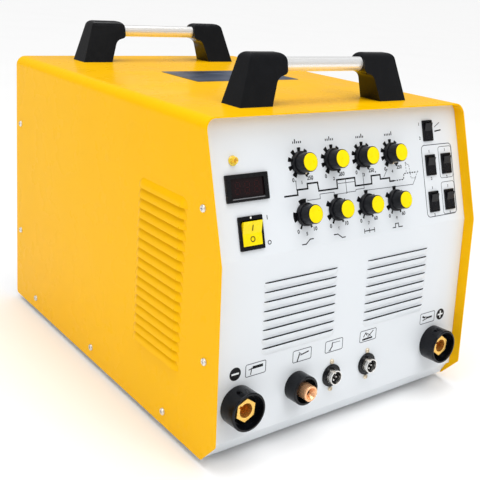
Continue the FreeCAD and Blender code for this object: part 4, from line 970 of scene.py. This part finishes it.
class WELDER_OT_signs(bpy.types.Operator):
    """Prints the polarity discs and the framed signs above the sockets"""
    bl_idname = "welder.signs"
    bl_label = "Socket signs"

    def execute(self, context):
        black, white, grey = bmesh.new(), bmesh.new(), bmesh.new()
        for mark in (MINUS, PLUS):
            disc(black, spot(LOWER, *mark), POLARITY_RADIUS)
            bar(white, spot(LOWER, *mark, PRINT_THICKNESS), *POLARITY_BAR, ACROSS_THICKNESS)
        bar(white, spot(LOWER, *PLUS, PRINT_THICKNESS), *reversed(POLARITY_BAR),
            UPRIGHT_THICKNESS)
        for x in SIGN_X:
            rounded_outline(grey, LOWER, x, -SIGN_DROP, *SIGN_SIZE, SIGN_CORNER, SIGN_LINE)
        for x, lines in zip(SIGN_X, SIGNS):
            for tone, points, width in lines:
                around = [(x + dx, -SIGN_DROP + dy) for dx, dy in points]
                stroke((black, grey)[tone], LOWER, around, width)
        printed("sign_shapes", black)
        new_piece("polarity_bars", white, CASE, "white ink and glint")
        printed("sign_frames", grey, "grey ink")
        return {"FINISHED"}


# ---- rear ----
class WELDER_OT_rear(bpy.types.Operator):
    """Finishes the fan, its guard, the cord gland and the gas inlet"""
    bl_idname = "welder.rear"
    bl_label = "Rear"

    def execute(self, context):
        moulded("fan plastic", (0.014, 0.014, 0.016), 0.42)
        moulded("gland plastic", (0.018, 0.018, 0.02), 0.5, 700.0)
        drawn("bright wire", (0.72, 0.72, 0.70), 0.22, (0.5, 0.5, 0.48), (120.0, 120.0, 120.0))
        machined("fitting brass", (0.83, 0.62, 0.28), 0.27, (0.6, 0.4, 0.14))
        dress("fan plastic", "fan_frame", "fan_rotor")
        dress("bright wire", "fan_guard")
        dress("bright screw", "fan_screws")
        dress("gland plastic", "cord_gland")
        dress("fitting brass", "gas_nipple")
        return {"FINISHED"}


LOUVRE_SHADE_X = (-85.5, 83.5)   # dark sheets behind the two louvre groups of the front: painted shade that keeps the slits dark
LOUVRE_SHADE_UP = -77.0
LOUVRE_SHADE_SIZE = (128.0, 100.0)
LOUVRE_SHADE_DEPTH = 5.0 * MM


class WELDER_OT_inner(bpy.types.Operator):
    """Finishes the inner pieces and adds dark sheets of painted shade behind the front louvres"""
    bl_idname = "welder.inner"
    bl_label = "Inner pieces"

    def execute(self, context):
        moulded("valve plastic", (0.03, 0.03, 0.035), 0.45)
        # Heat sinks near black: partly a dark anodised finish, partly painted shade that keeps the view through
        # the louvre slits dark.
        drawn("extrusion", (0.035, 0.036, 0.038), 0.4, (0.07, 0.07, 0.075), (500.0, 8.0, 500.0))
        board = Finish("board", (0.015, 0.13, 0.045), 0.35, Coat_Weight=0.3)
        tracks = board.bands(60.0, direction="DIAGONAL", distortion=8.0)
        board.tint(tracks, (0.03, 0.22, 0.08), 0.6, 0.7, 0.8)
        board.bump(tracks, 0.04, 0.3)
        sleeve = Finish("capacitor sleeve", (0.015, 0.02, 0.07), 0.25)
        sleeve.tint(sleeve.noise(70.0), (0.03, 0.035, 0.10), 0.4, 0.8, 0.7)
        sleeve.bump(sleeve.noise(500.0), 0.03, 0.4)
        core = Finish("core steel", (0.20, 0.21, 0.23), 0.45, metallic=0.8)
        sheets = core.bands(320.0, direction="Y")
        core.tint(sheets, (0.10, 0.10, 0.11), 0.4, 0.7, 0.8)
        core.bump(sheets, 0.1, 0.6)
        winding = Finish("winding", (0.50, 0.20, 0.07), 0.3, metallic=0.6)
        turns = winding.bands(180.0, direction="Z", distortion=0.4)
        winding.tint(turns, (0.20, 0.07, 0.02), 0.3, 0.6, 0.8)
        winding.bump(turns, 0.5, 0.7)
        moulded("potting", (0.02, 0.02, 0.02), 0.5, 400.0)
        for name, node in (("valve plastic", "gas_valve"), ("extrusion", "heat_sinks"),
                           ("board", "power_board"), ("capacitor sleeve", "capacitors"),
                           ("core steel", "transformer_core"),
                           ("winding", "transformer_winding"), ("potting", "arc_starter")):
            dress(name, node)
        # Painted shade: two near-black sheets just behind the front louvres stand in for the shadow inside the
        # case.
        bm = bmesh.new()
        for x in LOUVRE_SHADE_X:
            bar(bm, spot(LOWER, x, LOUVRE_SHADE_UP, -LOUVRE_SHADE_DEPTH), *LOUVRE_SHADE_SIZE)
        new_piece("louvre_shade_sheets", bm, CASE, "potting")
        return {"FINISHED"}


# ---- stage ----
CAMERA_PLACE = Vector((-0.693587, -0.917548, 0.557405))
CAMERA_TURN = -0.663              # radians about Z, 0 looks along +Y
CAMERA_DIP = 0.279                # radians below the horizon
CAMERA_ROLL = 0.078
CAMERA_LENS = 59.0
CAMERA_SHIFT = -0.0833
CAMERA_SENSOR = 36.0
CAMERA_NEAR = 0.01
FLOOR_SIZE = 120.0
WORLD_STRENGTH = 0.3
OVERHEAD_POWER = 2.45
OVERHEAD_ANGLE = math.radians(60)
# name, place, size, power and target
AREA_LIGHTS = (("front_light", (0.2, -1.9, 1.9), 1.4, 16.0, (0, -0.25, 0.22)),
               ("side_light", (-2.4, -0.3, 1.2), 1.8, 13.0, (-0.2, 0, 0.2)))


class WELDER_OT_stage(bpy.types.Operator):
    """Makes the floor, the soft lights and the camera"""
    bl_idname = "welder.stage"
    bl_label = "Stage"

    def execute(self, context):
        scene = context.scene
        scene.view_settings.view_transform = "Standard"
        self.floor()
        self.world(scene)
        self.overhead()
        for light in AREA_LIGHTS:
            self.light(*light)
        self.camera(scene)
        return {"FINISHED"}

    def floor(self):
        bm = bmesh.new()
        bmesh.ops.create_grid(bm, x_segments=1, y_segments=1, size=FLOOR_SIZE)
        mesh = bpy.data.meshes.new("floor")
        bm.to_mesh(mesh)
        bm.free()
        floor = bpy.data.objects.new("floor", mesh)
        bpy.context.scene.collection.objects.link(floor)
        paper = Finish("floor paper", (0.93, 0.93, 0.93), 0.7)
        paper.tint(paper.noise(2.0), (0.90, 0.90, 0.90), 0.4, 0.8, 0.5)
        mesh.materials.append(paper.material)

    def world(self, scene):
        world = bpy.data.worlds.new("studio")
        world.use_nodes = True
        sky = world.node_tree.nodes["Background"]
        sky.inputs["Color"].default_value = (1.0, 1.0, 1.0, 1.0)
        sky.inputs["Strength"].default_value = WORLD_STRENGTH
        scene.world = world

    def overhead(self):
        """Very wide soft light straight above, so the floor is evenly pale."""
        lamp = bpy.data.lights.new("overhead_light", "SUN")
        lamp.energy = OVERHEAD_POWER
        lamp.angle = OVERHEAD_ANGLE
        holder = bpy.data.objects.new("overhead_light", lamp)
        bpy.context.scene.collection.objects.link(holder)

    def light(self, name, place, size, power, target):
        lamp = bpy.data.lights.new(name, "AREA")
        lamp.shape = "SQUARE"
        lamp.size = size
        lamp.energy = power
        holder = bpy.data.objects.new(name, lamp)
        holder.location = place
        aim = Vector(target) - Vector(place)
        holder.rotation_euler = aim.to_track_quat("-Z", "Y").to_euler()
        bpy.context.scene.collection.objects.link(holder)

    def camera(self, scene):
        lens = bpy.data.cameras.new("camera")
        lens.lens = CAMERA_LENS
        lens.sensor_width = CAMERA_SENSOR
        lens.shift_y = CAMERA_SHIFT
        lens.clip_start = CAMERA_NEAR
        holder = bpy.data.objects.new("camera", lens)
        ahead = Vector((-math.sin(CAMERA_TURN) * math.cos(CAMERA_DIP),
                        math.cos(CAMERA_TURN) * math.cos(CAMERA_DIP), -math.sin(CAMERA_DIP)))
        right = ahead.cross(Vector((0, 0, 1))).normalized()
        up = right.cross(ahead)
        level = Matrix((right, up, -ahead)).transposed().to_4x4()
        roll = Matrix.Rotation(CAMERA_ROLL, 4, "Z")
        holder.matrix_world = Matrix.Translation(CAMERA_PLACE) @ level @ roll
        scene.collection.objects.link(holder)
        scene.camera = holder


# ---- panel, registration and run ----
OPERATORS = (WELDER_OT_case, WELDER_OT_panels, WELDER_OT_handles, WELDER_OT_knobs, WELDER_OT_dials,
             WELDER_OT_diagram, WELDER_OT_meter, WELDER_OT_lamp, WELDER_OT_switches,
             WELDER_OT_symbols, WELDER_OT_sockets, WELDER_OT_signs, WELDER_OT_rear,
             WELDER_OT_inner, WELDER_OT_stage)


class WELDER_PT_panel(bpy.types.Panel):
    """Lists the settings and the pieces in the order they are made"""
    bl_idname = "WELDER_PT_panel"
    bl_label = "Welding Power Source"
    bl_space_type = "VIEW_3D"
    bl_region_type = "UI"
    bl_category = "Welder"

    def draw(self, context):
        for name, group in SETTINGS:
            settings = getattr(context.scene, name)
            for key in group.__annotations__:
                self.layout.prop(settings, key)
        for operator in OPERATORS:
            self.layout.operator(operator.bl_idname)


CLASSES = tuple(group for _, group in SETTINGS) + OPERATORS + (WELDER_PT_panel,)


def register():
    for item in CLASSES:
        bpy.utils.register_class(item)
    for name, group in SETTINGS:
        setattr(bpy.types.Scene, name, PointerProperty(type=group))


def unregister():
    for name, _ in SETTINGS:
        delattr(bpy.types.Scene, name)
    for item in reversed(CLASSES):
        bpy.utils.unregister_class(item)


def main():
    register()
    for operator in OPERATORS:
        module, name = operator.bl_idname.split(".")
        getattr(getattr(bpy.ops, module), name)()


if __name__ == "__main__":
    main()
